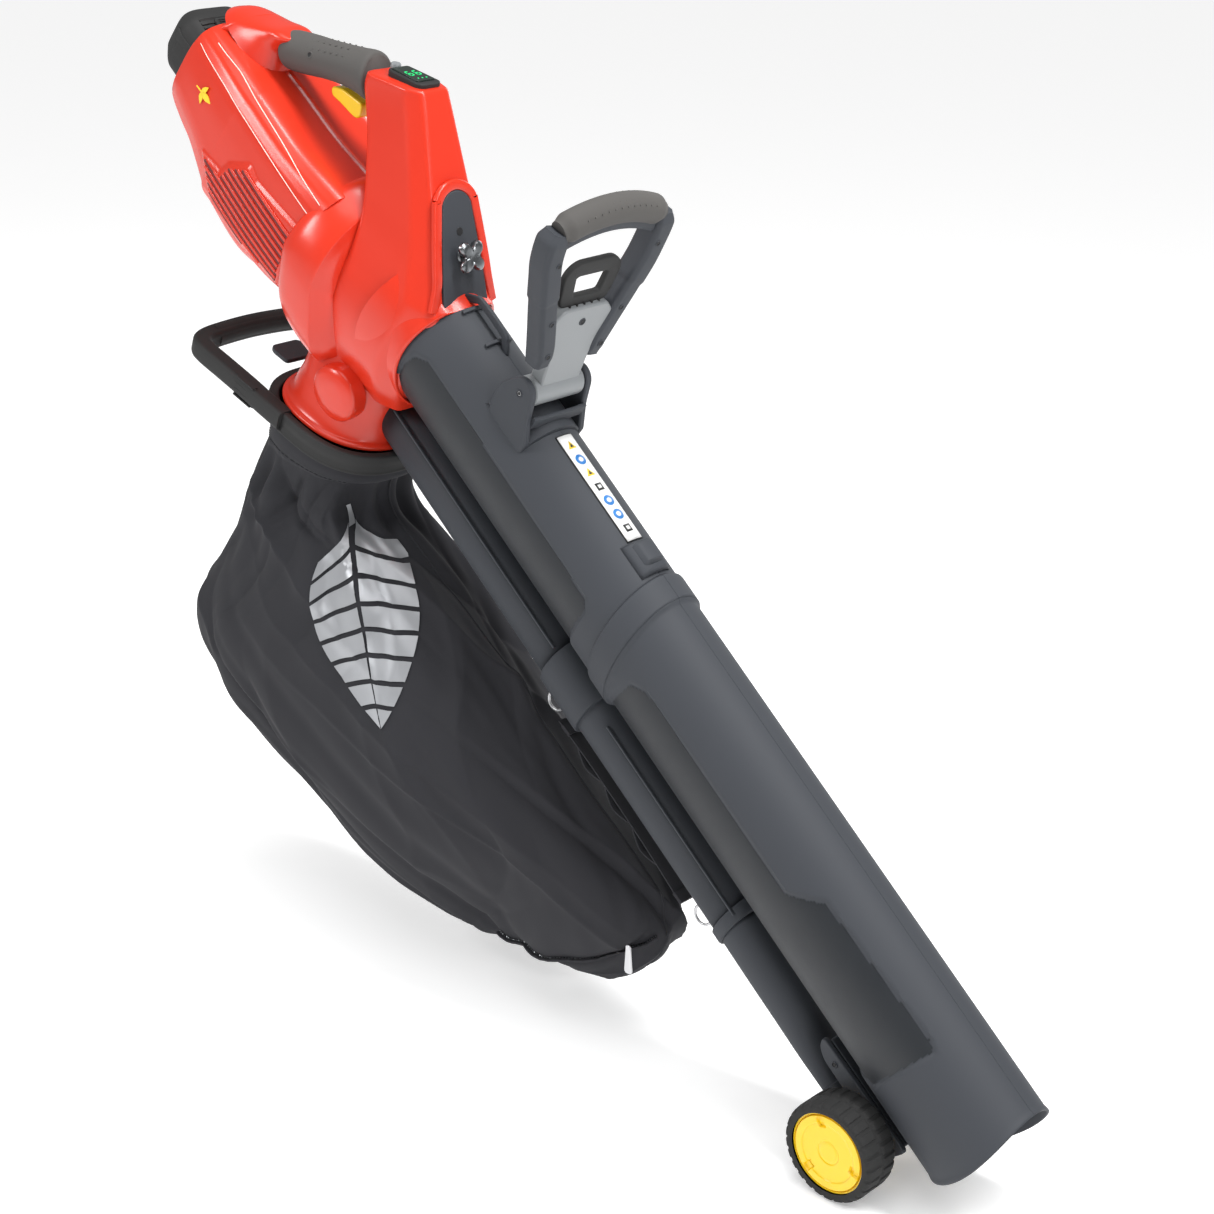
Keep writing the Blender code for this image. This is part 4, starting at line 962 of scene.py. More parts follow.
TOWER_STATIONS = [  # front point, rear point (X, Z) and half width
    ((-0.286, -0.06), (-0.365, -0.088), 0.038), ((-0.287, -0.042), (-0.378, -0.07), 0.05),
    ((-0.29, -0.015), (-0.395, -0.042), 0.06), ((-0.293, 0.015), (-0.408, -0.012), 0.063),
    ((-0.296, 0.042), (-0.418, 0.012), 0.06), ((-0.301, 0.063), (-0.425, 0.033), 0.055),
    ((-0.313, 0.0745), (-0.431, 0.05), 0.051), ((-0.331, 0.0907), (-0.44, 0.068), 0.0462),
    ((-0.352, 0.11), (-0.453, 0.085), 0.0418), ((-0.376, 0.13), (-0.467, 0.0985), 0.0375),
    ((-0.4, 0.149), (-0.481, 0.112), 0.0335), ((-0.423, 0.167), (-0.495, 0.124), 0.0298),
    ((-0.445, 0.184), (-0.511, 0.136), 0.0266), ((-0.456, 0.192), (-0.522, 0.146), 0.0252),
    ((-0.461, 0.1955), (-0.526, 0.156), 0.0246),
]


def tower_ring(front, rear, half, shrink=0.0):
    front, rear = np.array(front), np.array(rear)
    middle = (front + rear) / 2
    along = (front - rear) / np.linalg.norm(front - rear)
    reach = np.linalg.norm(front - rear) / 2 - shrink
    half = half - shrink
    side = [(-reach, half * 0.72), (-reach * 0.8, half), (reach * 0.52, half * 0.97), (reach, half * 0.7)]
    whole = blunt(side + [(a, -b) for a, b in reversed(side)], 0.0055, 5)
    upper = whole[whole[:, 1] > 0]
    start = int(np.argmin(upper[:, 0] + upper[:, 1] * 0.001))
    upper = np.roll(upper, -start, axis=0)
    outline = np.vstack([[(-reach, 0.0)], upper, [(reach, 0.0)]])
    return np.column_stack([middle[0] + along[0] * outline[:, 0], outline[:, 1],
                            middle[1] + along[1] * outline[:, 0]])


def build_tower(settings):
    rows = [tower_ring(*s) for s in TOWER_STATIONS]
    top_front, top_rear, half = TOWER_STATIONS[-1]
    lift = np.array((-0.0012, 0.0, 0.0022))
    for shrink, share in ((0.0012, 0.6), (0.0032, 1.0), (0.01, 1.12), (0.018, 1.15)):
        ring = tower_ring(top_front, top_rear, half, shrink)
        rows.append(ring + lift * share)
    points = flow(rows, 190)
    for side, sign in (("left", 1), ("right", -1)):
        half_shell = points * (1, sign, 1)
        obj = skin("tower_%s_shell" % side, half_shell if sign > 0 else half_shell[:, ::-1], around=False)
        settle(obj, "red_plastic", stands_for=("tower_" + side,), sharp=30)
    turn = full_turn(120)
    funnel = []
    for x0, grow in ((-0.345, 0.014), (-0.325, 0.0095), (-0.308, 0.0058), (-0.297, 0.0042),
                     (-0.2915, 0.0038), (-0.2898, 0.0026),
                     (-0.29, 0.001), (-0.294, 0.0002)):
        grown = grow * (1 - 0.92 * ease(np.sin(turn), 0.82, 0.95))
        funnel.append(np.column_stack([x0 - 0.01 * np.sin(turn) - 0.012 * np.cos(turn) ** 2,
                                       (TUBE_W + grown) * np.cos(turn),
                                       TUBE_Z + (TUBE_H + grown) * np.sin(turn)]))
    settle(skin("tube_collar_lip", flow(funnel, 50)), "red_plastic")
    # riser behind the grip, with a scalloped crest
    n = 44
    turn = full_turn(n)
    c, s = np.cos(turn), np.sin(turn)
    riser = [(-0.664, 0.05, 0.046, 0.033, 0.0), (-0.662, 0.06, 0.039, 0.03, 0.1),
             (-0.656, 0.07, 0.029, 0.0265, 0.3),
             (-0.646, 0.08, 0.0205, 0.0235, 0.5), (-0.637, 0.0885, 0.0165, 0.0215, 0.75),
             (-0.632, 0.0935, 0.012, 0.0165, 0.85),
             (-0.63, 0.095, 0.005, 0.007, 0.9)]
    rows = []
    for x, z, a, b, tilt in flow(riser, 50):
        rows.append(np.column_stack([x + a * bulged(c, 0.8), b * bulged(s, 0.8), z + 0.35 * tilt * a * c]))
    settle(skin("rear_riser_cowl", np.array(rows), caps=True), "red_plastic", stands_for=("rear_riser",))
    crest = []
    for x, z, half_w, half_h in flow([(-0.694, 0.034, 0.036, 0.01), (-0.69, 0.04, 0.035, 0.015),
                                      (-0.684, 0.047, 0.032, 0.0185),
                                      (-0.677, 0.052, 0.027, 0.019), (-0.668, 0.051, 0.023, 0.014),
                                      (-0.658, 0.045, 0.02, 0.008)], 30):
        crest.append(np.column_stack([np.full(n, x), half_w * bulged(c, 0.8), z + half_h * bulged(s, 0.8)]))
    settle(skin("rear_crest", np.array(crest), caps=True), "red_plastic")


def build_grip(settings):
    rear, front = GRIP_REAR, GRIP_FRONT
    along = (front - rear).normalized()
    over = Vector((-along.z, 0, along.x))
    length = (front - rear).length
    n = 56
    turn = full_turn(n)
    stations = [(-0.004, 0.0165, 0.0172), (0.004, 0.0192, 0.0196), (0.03, 0.0196, 0.0198),
                (0.055, 0.019, 0.019),
                (0.08, 0.0192, 0.0196), (0.1, 0.02, 0.0215), (length + 0.008, 0.021, 0.0245),
                (length + 0.012, 0.019, 0.0215)]
    rows = []
    for d, across, up in flow(stations, 90):
        centre = np.array(rear + along * d) - np.array(over) * (0.004 * (d / length) ** 4)
        rows.append(centre + np.outer(across * np.cos(turn), (0, 1, 0))
                    + np.outer(up * np.sin(turn), np.array(over)))
    points = np.array(rows)
    settle(skin("soft_grip_sleeve", points, caps=True), "soft_grip", stands_for=("soft_grip", "grip_core"))
    bumps = []
    for row, angle in enumerate((34, 62, 118, 146)):
        for k in range(9):
            d = 0.022 + 0.0085 * k
            if k == 3 and row == 0:
                continue
            a = math.radians(angle)
            base = rear + along * d + Vector((0, 1,
                                              0)) * (0.0191 * math.cos(a)) + over * (0.0192 * math.sin(a))
            normal = Vector((0, 1, 0)) * math.cos(a) + over * math.sin(a)
            bumps.append(lathe("bump", [(0.0, 0.0006), (0.0007, 0.00045), (0.0011, 0.0), (0.0011, -0.0006)],
                               (0, 0, 0), (0, 0, 1), 10,
                               facing(base, normal)))
    settle(merged("soft_grip_dots", bumps), "soft_grip")
    side = rear + along * 0.046 + Vector((0, -0.0186, 0)) + over * 0.0045
    screw_head("grip_screw_well", side, (0, -1, 0.22), 0.003, "housing", finish="soft_grip")
    # trigger: a curved paddle under the grip's front end
    hinge = Vector((-0.557, 0, 0.0968))
    slope = math.atan2(along.z, along.x)
    place = (TOOL @ Matrix.Translation(hinge) @ Matrix.Rotation(-slope, 4, "Y")
             @ Matrix.Rotation(math.pi / 2, 4, "X"))
    outline = [(-0.001, 0.0035), (0.014, 0.0035), (0.043, -0.006), (0.0405, -0.019), (0.034, -0.0215),
               (0.026, -0.018),
               (0.012, -0.0105), (-0.001, -0.005)]
    trigger = prism("trigger_paddle", blunt(outline, 0.004), -0.0085, 0.0085, place, 0.0022)
    settle(trigger, "yellow_plastic", "trigger", ("trigger",))


def build_display(settings):
    slope = math.atan2(0.033, 0.061)
    panel = TOOL @ Matrix.Translation((-0.4945, 0, 0.1802)) @ Matrix.Rotation(-slope, 4, "Y")
    bezel = blunt([(-0.027, -0.013), (-0.02, -0.0165), (0.028, -0.0175), (0.034, -0.012), (0.034, 0.012),
                   (0.028, 0.0175),
                   (-0.02, 0.0165), (-0.027, 0.013)], 0.004)
    settle(prism("display_surround", bezel * (0.8, 0.84) + (0.003, 0), -0.003, 0.004, panel, 0.0009),
           "black_plastic", stands_for=("display_bezel",))
    window = blunt([(-0.0155, -0.0105), (0.0225, -0.0115), (0.0225, 0.0115), (-0.0155, 0.0105)], 0.003)
    settle(prism("display_glass", window, 0.003, 0.0052, panel, 0.0004), "display_window",
           stands_for=("display_window",))
    bars = []
    for digit in range(2):
        cy = -0.0045 + digit * 0.009
        for sx, sy, horizontal in ((0, 0, 1), (-0.005, 0, 1), (0.005, 0, 1), (-0.0025, -0.0022, 0),
                                   (0.0025, 0.0022, 0), (0.0025, -0.0022, 0)):
            w, h = (0.0008, 0.0036) if horizontal else (0.004, 0.0008)
            bars.append(prism("bar", slab(w, h, 0.0002, 1) + (0.0005 + 0.003 + sx, cy + sy), 0.005, 0.0055,
                              panel, 0))
    for k in range(3):
        bars.append(prism("bar", slab(0.0016, 0.0012, 0.0002, 1) + (0.0165, -0.005 + 0.005 * k), 0.005,
                          0.0055, panel, 0))
    settle(merged("display_segments", bars), "display_digits")
    button = lathe("speed_button_cap",
                   [(0.0, 0.0068), (0.003, 0.0072), (0.0044, 0.007), (0.005, 0.0062), (0.005, 0.0)],
                   (-0.0205, 0, 0), (0, 0, 1), 40, panel)
    settle(button, "grey_plastic", "speed_button", ("speed_button",))


def build_tongue(settings):
    """The black tongue of the tube in its raised red surround, with the star knob."""
    place = TOOL @ Matrix.Translation((-0.352, 0, 0.11)) @ Matrix.Rotation(TONGUE_SLOPE, 4, "Y")
    # local X runs down the tower's face, Z leaves it
    head = [(-0.03 - 0.0195 * math.cos(a), 0.0195 * math.sin(a)) for a in np.linspace(-1.25, 1.25, 15)]
    tongue = blunt([(0.084, -0.03), (0.034, -0.0265), (0.01, -0.024), *head, (0.01, 0.024), (0.034, 0.0265),
                    (0.084, 0.03)], 0.002, 2)
    settle(prism("tube_tongue_plate", tongue, -0.004, 0.0036, place, 0.0012), "tube_plastic",
           stands_for=("tube_tongue",))
    wide = [(-0.03 - 0.0245 * math.cos(a), 0.0245 * math.sin(a)) for a in np.linspace(-1.3, 1.3, 19)]
    path = [(0.06, -0.0385, -0.003), (0.036, -0.0325, 0.0004), (0.012, -0.03, 0.0008),
            *[(x, y, 0.001) for x, y in wide], (0.012, 0.03, 0.0008),
            (0.036, 0.0325, 0.0004), (0.06, 0.0385, -0.003)]
    settle(sweep("tongue_surround", flow(path, 90), slab(0.01, 0.006, 0.0022), up=(0, 0, 1), frame=place),
           "red_plastic")
    # the keyhole is a flat near-black disc of painted shade standing in for the hole
    settle(lathe("tongue_keyhole", [(0.0, 0.004), (0.0036, 0.004), (0.004, 0.0036)], (-0.011, 0, 0),
                 (0, 0, 1), 28, place),
           "dark_recess")
    knob = place @ Matrix.Translation((0.012, 0, 0))
    stem = [(0.003, 0.0034), (0.0062, 0.0036), (0.0066, 0.0046), (0.0052, 0.006), (0.005, 0.0125),
            (0.0064, 0.0132)]
    settle(lathe("star_knob_stem", stem, (0, 0, 0), (0, 0, 1), 32, knob), "knob_metal", "star_knob")
    turn = full_turn(96)
    reach = 0.0142 + 0.0046 * np.cos(4 * (turn - math.pi / 4)) - 0.0008 * np.cos(8 * (turn - math.pi / 4))
    rows = []
    for height, share in ((0.0118, 0.3), (0.0122, 0.72), (0.0134, 0.9), (0.0155, 0.985), (0.0182, 0.96),
                          (0.02, 0.84),
                          (0.0206, 0.6), (0.0196, 0.34), (0.019, 0.1), (0.019, 0.0)):
        r = reach * share if share > 0.4 else 0.0135 * share * np.ones(96)
        rows.append(np.column_stack([r * np.cos(turn), r * np.sin(turn), np.full(96, height)]))
    settle(skin("star_knob_grip", np.array(rows), frame=knob), "knob_metal", "star_knob", ("star_knob",))


# ---------------------------------------------------------------- battery

def build_battery(settings):
    """A chamfered battery block with grip ribs on its top and flanks."""
    n = 160
    turn = full_turn(n)
    c, s = np.cos(turn), np.sin(turn)
    base_y = 0.0415 * bulged(c, 2 / 4.6)
    base_z = 0.036 * bulged(s, 2 / 4.6)
    rows = []
    for d in np.concatenate([[0.0, 0.0008], np.linspace(0.002, 0.02, 14), np.linspace(0.022, 0.062, 80),
                             [0.1]]):
        chamfer = 1 - 0.3 * (1 - ease(d, -0.012, 0.021)) - (0.02 if d == 0.0 else 0.0)
        rib = 0.0014 * (np.abs((d / 0.0052) % 1.0
                               - 0.5) > 0.27) * (0.018 < d < 0.06) * (np.abs(base_y) < 0.029)
        side_rib = 0.001 * (0.016 < d < 0.06) * (np.abs(base_z + 0.002) < 0.004)
        grow = chamfer * (1 + (rib + side_rib) / 0.04)
        rows.append(np.column_stack([np.full(n, BATTERY_REAR + d), base_y * grow,
                                     BATTERY_Z + base_z * grow]))
    settle(skin("battery_block", np.array(rows), caps=True), "black_plastic", "battery", ("battery_pack",),
           28)
    for side, y in (("right", -1), ("left", 1)):
        path = [(BATTERY_REAR + d, y * (0.0385 + 0.002 * ease(d, 0.004, 0.02)), BATTERY_Z + 0.0105)
                for d in np.linspace(0.01, 0.064, 12)]
        settle(sweep("battery_flank_rib_" + side, path, slab(0.003, 0.01, 0.001)), "black_plastic",
               "battery")
    top = BATTERY_Z + 0.036
    button = TOOL @ Matrix.Translation((BATTERY_REAR + 0.031, 0, top))
    settle(prism("battery_release_pad",
                 blunt([(-0.008, -0.015), (0.008, -0.015), (0.008, 0.015), (-0.008, 0.015)], 0.003),
                 -0.004, 0.0034, button, 0.001), "black_plastic", "battery_release", ("battery_release",))
    ribs = [prism("rib", slab(0.001, 0.022, 0.0004, 1) + (x, 0), 0.003, 0.0042, button, 0)
            for x in (-0.005, -0.0025, 0, 0.0025, 0.005)]
    settle(merged("battery_release_ribs", ribs), "black_plastic", "battery_release")


# ---------------------------------------------------------------- front handle

def build_bracket(settings):
    upright = TOOL @ Matrix.Translation(HINGE) @ Matrix.Rotation(math.pi / 2, 4, "X")
    ear = [(-0.021, -0.03), (-0.0225, -0.012),
           *[(0.0158 * math.cos(a), 0.0158 * math.sin(a)) for a in np.linspace(2.7, 0.35, 12)],
           (0.0225, -0.012), (0.037, -0.034), (0.037, -0.05), (0.02, -0.058), (-0.014, -0.05)]
    for side, sign in (("right", -1), ("left", 1)):
        outer = 0.0402
        low, high = (outer - 0.0072, outer) if sign < 0 else (-outer, -outer + 0.0072)
        settle(prism("bracket_ear_" + side, blunt(ear, 0.003, 3), low, high, upright, 0.0018),
               "tube_plastic",
               stands_for=("handle_bracket",) if sign < 0 else ())
        screw_head("bracket_screw_" + side, (HINGE[0], sign * 0.0403, HINGE[2]), (0, sign, 0), 0.0034,
                   "housing")
    rows = []
    for dx, lift in ((-0.0215, 0.0), (-0.0205, 0.004), (0.0355, 0.004), (0.0368, 0.0)):
        y = np.linspace(-0.0395, 0.0395, 31)
        rows.append(np.stack([np.full(31, HINGE[0] + dx), y, tube_crown(y) + lift], 1))
    settle(skin("bracket_saddle", np.array(rows), around=False, thickness=0.0015), "tube_plastic")
    for name, dx in (("front", 0.025), ("rear", -0.0185)):
        path = [(HINGE[0] + dx, y, HINGE[2] - 0.017 + 0.001 * (abs(y) > 0.025))
                for y in np.linspace(-0.034, 0.034, 11)]
        settle(sweep("bracket_wall_" + name, path, slab(0.004, 0.015, 0.0015)), "tube_plastic")
    pin = [(0.0, -0.0404), (0.005, -0.04), (0.005, 0.04), (0.0, 0.0404)]
    settle(lathe("hinge_pin_bar", pin, HINGE, (0, 1, 0), 24), "steel", stands_for=("hinge_pin",))


def build_handle(settings):
    body = "front_handle"
    # neck plate and barrel
    face = HANDLE @ Matrix.Rotation(math.pi / 2, 4, "Z") @ Matrix.Rotation(math.pi / 2, 4, "X")
    neck = [(-0.025, 0.004), (0.025, 0.004), (0.0265, 0.04), (0.0345, 0.062), (0.0375, 0.084),
            (0.028, 0.094), (-0.028, 0.094),
            (-0.0375, 0.084), (-0.0345, 0.062), (-0.0265, 0.04)]
    settle(prism("handle_neck_plate", blunt(neck, 0.004, 4), -0.0065, 0.0095, face, 0.0018), "grey_plastic",
           body, ("handle_neck",))
    settle(lathe("handle_neck_barrel",
                 [(0.0053, -0.0318), (0.0132, -0.0318), (0.0146, -0.0306), (0.0146, 0.0306),
                  (0.0132, 0.0318),
                                        (0.0053, 0.0318)], (0, 0, 0), (0, 1, 0), 56, HANDLE), "grey_plastic",
                                        body)
    screw_head("handle_neck_hole", (0.0096, 0.0, 0.078), (1, 0, 0), 0.0034, body, HANDLE)
    # two arms that widen at the shoulder
    for side, sign in (("right", -1), ("left", 1)):
        path = flow([(0.001, sign * 0.0325, 0.034), (0.001, sign * 0.0345, 0.05),
                     (0.001, sign * 0.041, 0.07), (0.001, sign * 0.049, 0.092),
                     (0.001, sign * 0.056, 0.112), (0.001, sign * 0.0625, 0.132), (0.0, sign * 0.0672, 0.15),
                     (0.0, sign * 0.069, 0.168),
                     (0.0, sign * 0.0672, 0.181)], 90)
        up = path[:, 2]
        broad = 1.0 + 0.1 * ease(up, 0.108,
                                 0.113) - 0.16 * (1 - ease(up, 0.034, 0.06)) - 0.34 * ease(up, 0.17, 0.182)
        deep = 1.0 + 0.1 * ease(up, 0.108,
                                0.113) - 0.18 * (1 - ease(up, 0.034, 0.046)) - 0.3 * ease(up, 0.171, 0.182)
        section = blunt([(-0.0105, -0.0085), (-0.0065, -0.0118), (0.0065, -0.0118), (0.0105, -0.0085),
                         (0.0105, 0.0075), (0.007, 0.0112),
                         (-0.007, 0.0112), (-0.0105, 0.0075)], 0.0016, 3)
        arm = sweep("handle_arm_" + side, path, section, up=(1, 0, 0), frame=HANDLE,
                    sizes=np.column_stack([broad, deep]))
        settle(arm, "tube_plastic", body, ("handle_frame",) if sign < 0 else (), 25)
        for k, (y, z, r) in enumerate(((0.0345, 0.048, 0.003), (0.0455, 0.086, 0.0026),
                                       (0.064, 0.152, 0.0026))):
            screw_head("handle_arm_screw_%s_%d" % (side, k), (0.0124, sign * y, z), (1, 0, 0), r, body,
                       HANDLE)
    # soft bow with rows of dots
    def bow_height(y, rise=0.0165):
        return HANDLE_TOP + rise - 0.0135 * (y / 0.065) ** 2

    across = np.linspace(-0.064, 0.064, 80)
    arch = np.array([(0.0, y, bow_height(y)) for y in across])
    swell = 1.0 - 0.26 * ease(np.abs(across), 0.054, 0.064)
    section = circle(0.0142, 40, 0.94)
    settle(sweep("handle_bow_grip", arch, section, up=(1, 0, 0), frame=HANDLE,
                 sizes=np.column_stack([swell, swell])), "soft_grip", body,
           ("handle_grip",))
    lower = np.array([(0.0, y, bow_height(y, 0.006)) for y in np.linspace(-0.06, 0.06, 60)])
    settle(sweep("handle_bow_spine", lower, slab(0.019, 0.014, 0.0035), up=(1, 0, 0), frame=HANDLE),
           "tube_plastic", body)
    dots = []
    for angle in (38, 64, 92, 118):
        for k in range(12):
            y = -0.044 + 0.008 * k
            a = math.radians(angle)
            centre = (0.0141 * math.cos(a), y, bow_height(y) + 0.0134 * math.sin(a))
            dots.append(lathe("dot", [(0.0, 0.0007), (0.0008, 0.0005), (0.0012, 0.0), (0.0012, -0.0005)],
                              (0, 0, 0), (0, 0, 1), 10,
                              facing(centre, (math.cos(a), 0, math.sin(a)), up=(0, 1, 0), frame=HANDLE)))
    settle(merged("handle_bow_dots", dots), "soft_grip", body)
    # release loop with a ribbed foot
    loop_path = np.array([(0, y, z) for y,
                          z in blunt([(-0.0235, 0.0965), (0.0235, 0.0965), (0.029, 0.127), (0.021, 0.1335),
                                                      (-0.021, 0.1335), (-0.029, 0.127)], 0.01, 7)])
    settle(sweep("tilt_release_loop", loop_path, slab(0.016, 0.0068, 0.0022), up=(1, 0, 0), frame=HANDLE,
                 loop=True), "black_plastic",
           "tilt_release", ("tilt_release",))
    ribs = []
    for k in range(5):
        y = -0.019 + 0.0095 * k
        ribs.append(sweep("rib", [(0, y, 0.085), (0, y, 0.09), (0, y, 0.0955)],
                          slab(0.0016, 0.012, 0.0005, 1), up=(1, 0, 0), frame=HANDLE))
    ribs.append(sweep("rib", [(0, y, 0.0858) for y in (-0.0225, 0, 0.0225)], slab(0.012, 0.0018, 0.0006, 1),
                      up=(1, 0, 0), frame=HANDLE))
    settle(merged("tilt_release_ribs", ribs), "black_plastic", "tilt_release")


# ---------------------------------------------------------------- bag, frame and straps

def ring_path(grow, height, count=120, power=2.6):
    turn = full_turn(count)
    c, s = np.cos(turn), np.sin(turn)
    return np.column_stack([(RING_U + grow) * bulged(c, 2 / power),
                            (RING_V + grow) * bulged(s, 2 / power), np.full(count, height)])


def build_bag_frame(settings):
    section = [(-0.005, 0.01), (-0.0062, 0.0088), (-0.0068, 0.003), (-0.006, -0.002), (-0.0068, -0.008),
               (-0.0078, -0.0092),
               (-0.0076, -0.0112), (0.004, -0.0112), (0.0046, -0.006), (0.0046, 0.006), (0.0036, 0.0092),
               (-0.001, 0.0102)]
    rows = []
    for r, h in blunt(section, 0.0012, 2):
        rows.append(ring_path(-r * 0.9, h))
    rows.append(rows[0])
    settle(skin("bag_frame_ring", np.array(rows), frame=BAG_FRAME), "black_plastic", "bag", ("bag_frame",),
           40)
    side = RING_V - 0.001
    loop = [(-0.02, -side - 0.001, 0.001), (-0.05, -side - 0.001, 0.001), (-0.082, -side, 0.001),
            (-0.12, -side, 0.001), (-0.152, -side, 0.001),
            (-0.1645, -side + 0.004, 0.001), (-0.171, -side + 0.014, 0.001), (-0.1735, -0.04, 0.002),
            (-0.1745, 0.0, 0.003)]
    loop += [(x, -y, z) for x, y, z in reversed(loop[:-1])]
    path = flow(loop, 160)
    bar = blunt([(-0.0078, -0.01), (0.0078, -0.01), (0.0098, -0.007), (0.0098, 0.007), (0.007, 0.0102),
                 (-0.007, 0.0102),
                 (-0.0098, 0.007), (-0.0098, -0.007)], 0.0024, 3)
    settle(sweep("carry_loop_bar", path, bar, up=(0, 0, 1), frame=BAG_FRAME), "black_plastic", "bag",
           sharp=30)
    sleeve = path[(path[:, 1] > -0.048) & (path[:, 1] < 0.048)]
    settle(sweep("carry_loop_sleeve", sleeve, circle(0.0112, 32), up=(0, 0, 1), frame=BAG_FRAME),
           "black_plastic", "bag")
    for name, sign in (("right", -1), ("left", 1)):
        ribs = []
        for k in range(5):
            x = -0.09 + 0.0062 * k
            ribs.append(sweep("rib", [(x, sign * (side + 0.007), -0.01), (x, sign * (side + 0.007), 0.012)],
                              slab(0.0064, 0.0016, 0.0004, 1),
                              up=(0, 1, 0), frame=BAG_FRAME))
        for z in (-0.0095, -0.0025, 0.0045, 0.0115):
            ribs.append(sweep("rib", [(-0.091, sign * (side + 0.007), z),
                                      (-0.0645, sign * (side + 0.007), z)], slab(0.0064, 0.0016, 0.0004, 1),
                              up=(0, 0, 1), frame=BAG_FRAME))
        settle(merged("loop_waffle_" + name, ribs), "black_plastic", "bag")
        # a near-black block of painted shade under the waffle ribs, where the loop's root lies in shade
        block = slab(0.025, 0.02, 0.0016, 2) + (-0.0778, 0.001)
        upright = BAG_FRAME @ Matrix.Rotation(math.pi / 2, 4, "X")
        y0 = side - 0.002 if sign < 0 else -side - 0.0065
        settle(prism("loop_root_" + name, block, y0, y0 + 0.0085, upright, 0.0008), "dark_recess", "bag")
    catch = BAG_FRAME @ Matrix.Translation((-0.089, 0, 0.0135))
    paddle = blunt([(-0.031, -0.016), (-0.024, -0.02), (-0.001, -0.02), (-0.001, 0.02), (-0.024, 0.02),
                    (-0.031, 0.016)], 0.005, 4)
    settle(prism("bag_catch_paddle", paddle, -0.0022, 0.0026, catch, 0.001), "tube_plastic", "bag_catch",
           ("bag_catch",))


BAG_LEVELS = [  # height, rear and front end from the tool frame's origin, half width
    (0.106, -0.436, -0.322, 0.06), (0.084, -0.436, -0.306, 0.064), (0.05, -0.464, -0.306, 0.069),
    (0.022, -0.484, -0.297, 0.073),
    (0.0, -0.502, -0.264, 0.078), (-0.04, -0.53, -0.206, 0.087), (-0.085, -0.566, -0.156, 0.095),
    (-0.12, -0.588, -0.116, 0.1),
    (-0.16, -0.582, -0.078, 0.102), (-0.21, -0.548, -0.018, 0.099), (-0.262, -0.492, 0.056, 0.09),
    (-0.305, -0.436, 0.084, 0.076),
    (-0.34, -0.378, 0.072, 0.06), (-0.368, -0.318, 0.044, 0.044), (-0.388, -0.262, 0.006, 0.028),
    (-0.397, -0.215, -0.03, 0.01),
]


def bag_shape(turn, rows):
    """The hanging bag's surface: level rings that start on the bag's frame and end along the bottom seam."""
    c, s = np.cos(turn), np.sin(turn)
    levels = flow([(h, (a + b) / 2, (b - a) / 2, w) for h, a, b, w in BAG_LEVELS], rows)
    rings = []
    for height, middle, reach, half in levels:
        rings.append(np.column_stack([middle + reach * bulged(c, 0.92),
                                      half * bulged(s, 0.92), np.full(len(turn), height)]))
    points = np.array(rings)
    # the first rings follow the tilted frame instead of staying level
    to_hanging = HANGING.inverted() @ BAG_FRAME
    collar = []
    for drop in (-0.006, -0.018, -0.03):
        ring = np.column_stack([(RING_U - 0.001) * bulged(c, 0.8), (RING_V - 0.001) * bulged(s, 0.8),
                                np.full(len(turn), drop)])
        collar.append(carried(ring, to_hanging))
    blend_rows = int(rows * 0.17)
    for i in range(blend_rows):
        share = i / blend_rows
        target = collar[0] + (collar[2] - collar[0]) * min(1.0, share * 2.2)
        weight = 1 - ease(share, 0.25, 1.0)
        points[i] = points[i] * (1 - weight) + target * weight
    return points


def crease_field(u, v, seeds, rng):
    """Long soft folds across the bag: each is a ridge that wanders along its length."""
    field = np.zeros(u.shape)
    for _ in range(seeds):
        u0, v0 = rng.uniform(0, FULL), rng.uniform(0.12, 0.95)
        slope = rng.uniform(-2.6, 2.6)
        length = rng.uniform(0.12, 0.34)
        width = rng.uniform(0.05, 0.15)
        height = rng.uniform(-1.0, 1.0)
        du = (u - u0 - slope * (v - v0) + math.pi) % FULL - math.pi
        bend = 0.5 * np.sin((v - v0) * rng.uniform(4, 9))
        field += height * np.exp(-((du + bend * 0.3) / width) ** 2) * np.exp(-((v - v0) / length) ** 2)
    return field


def sharp_creases(u, v, rng, count):
    """Pinched folds with a crisp crest, running down and across from the collar and along the belly."""
    field = np.zeros(u.shape)
    for _ in range(count):
        u0, v0 = rng.uniform(0, FULL), rng.uniform(0.15, 0.92)
        slope = rng.choice((-1, 1)) * rng.uniform(0.6, 4.2)
        length = rng.uniform(0.07, 0.24)
        width = rng.uniform(0.06, 0.17)
        du = (u - u0 - slope * (v - v0) + math.pi) % FULL - math.pi
        fade = np.exp(-((v - v0) / length) ** 2)
        field += rng.uniform(0.35, 1.0) * np.exp(-np.abs(du) / width) * fade * rng.choice((-1, 1))
    return field


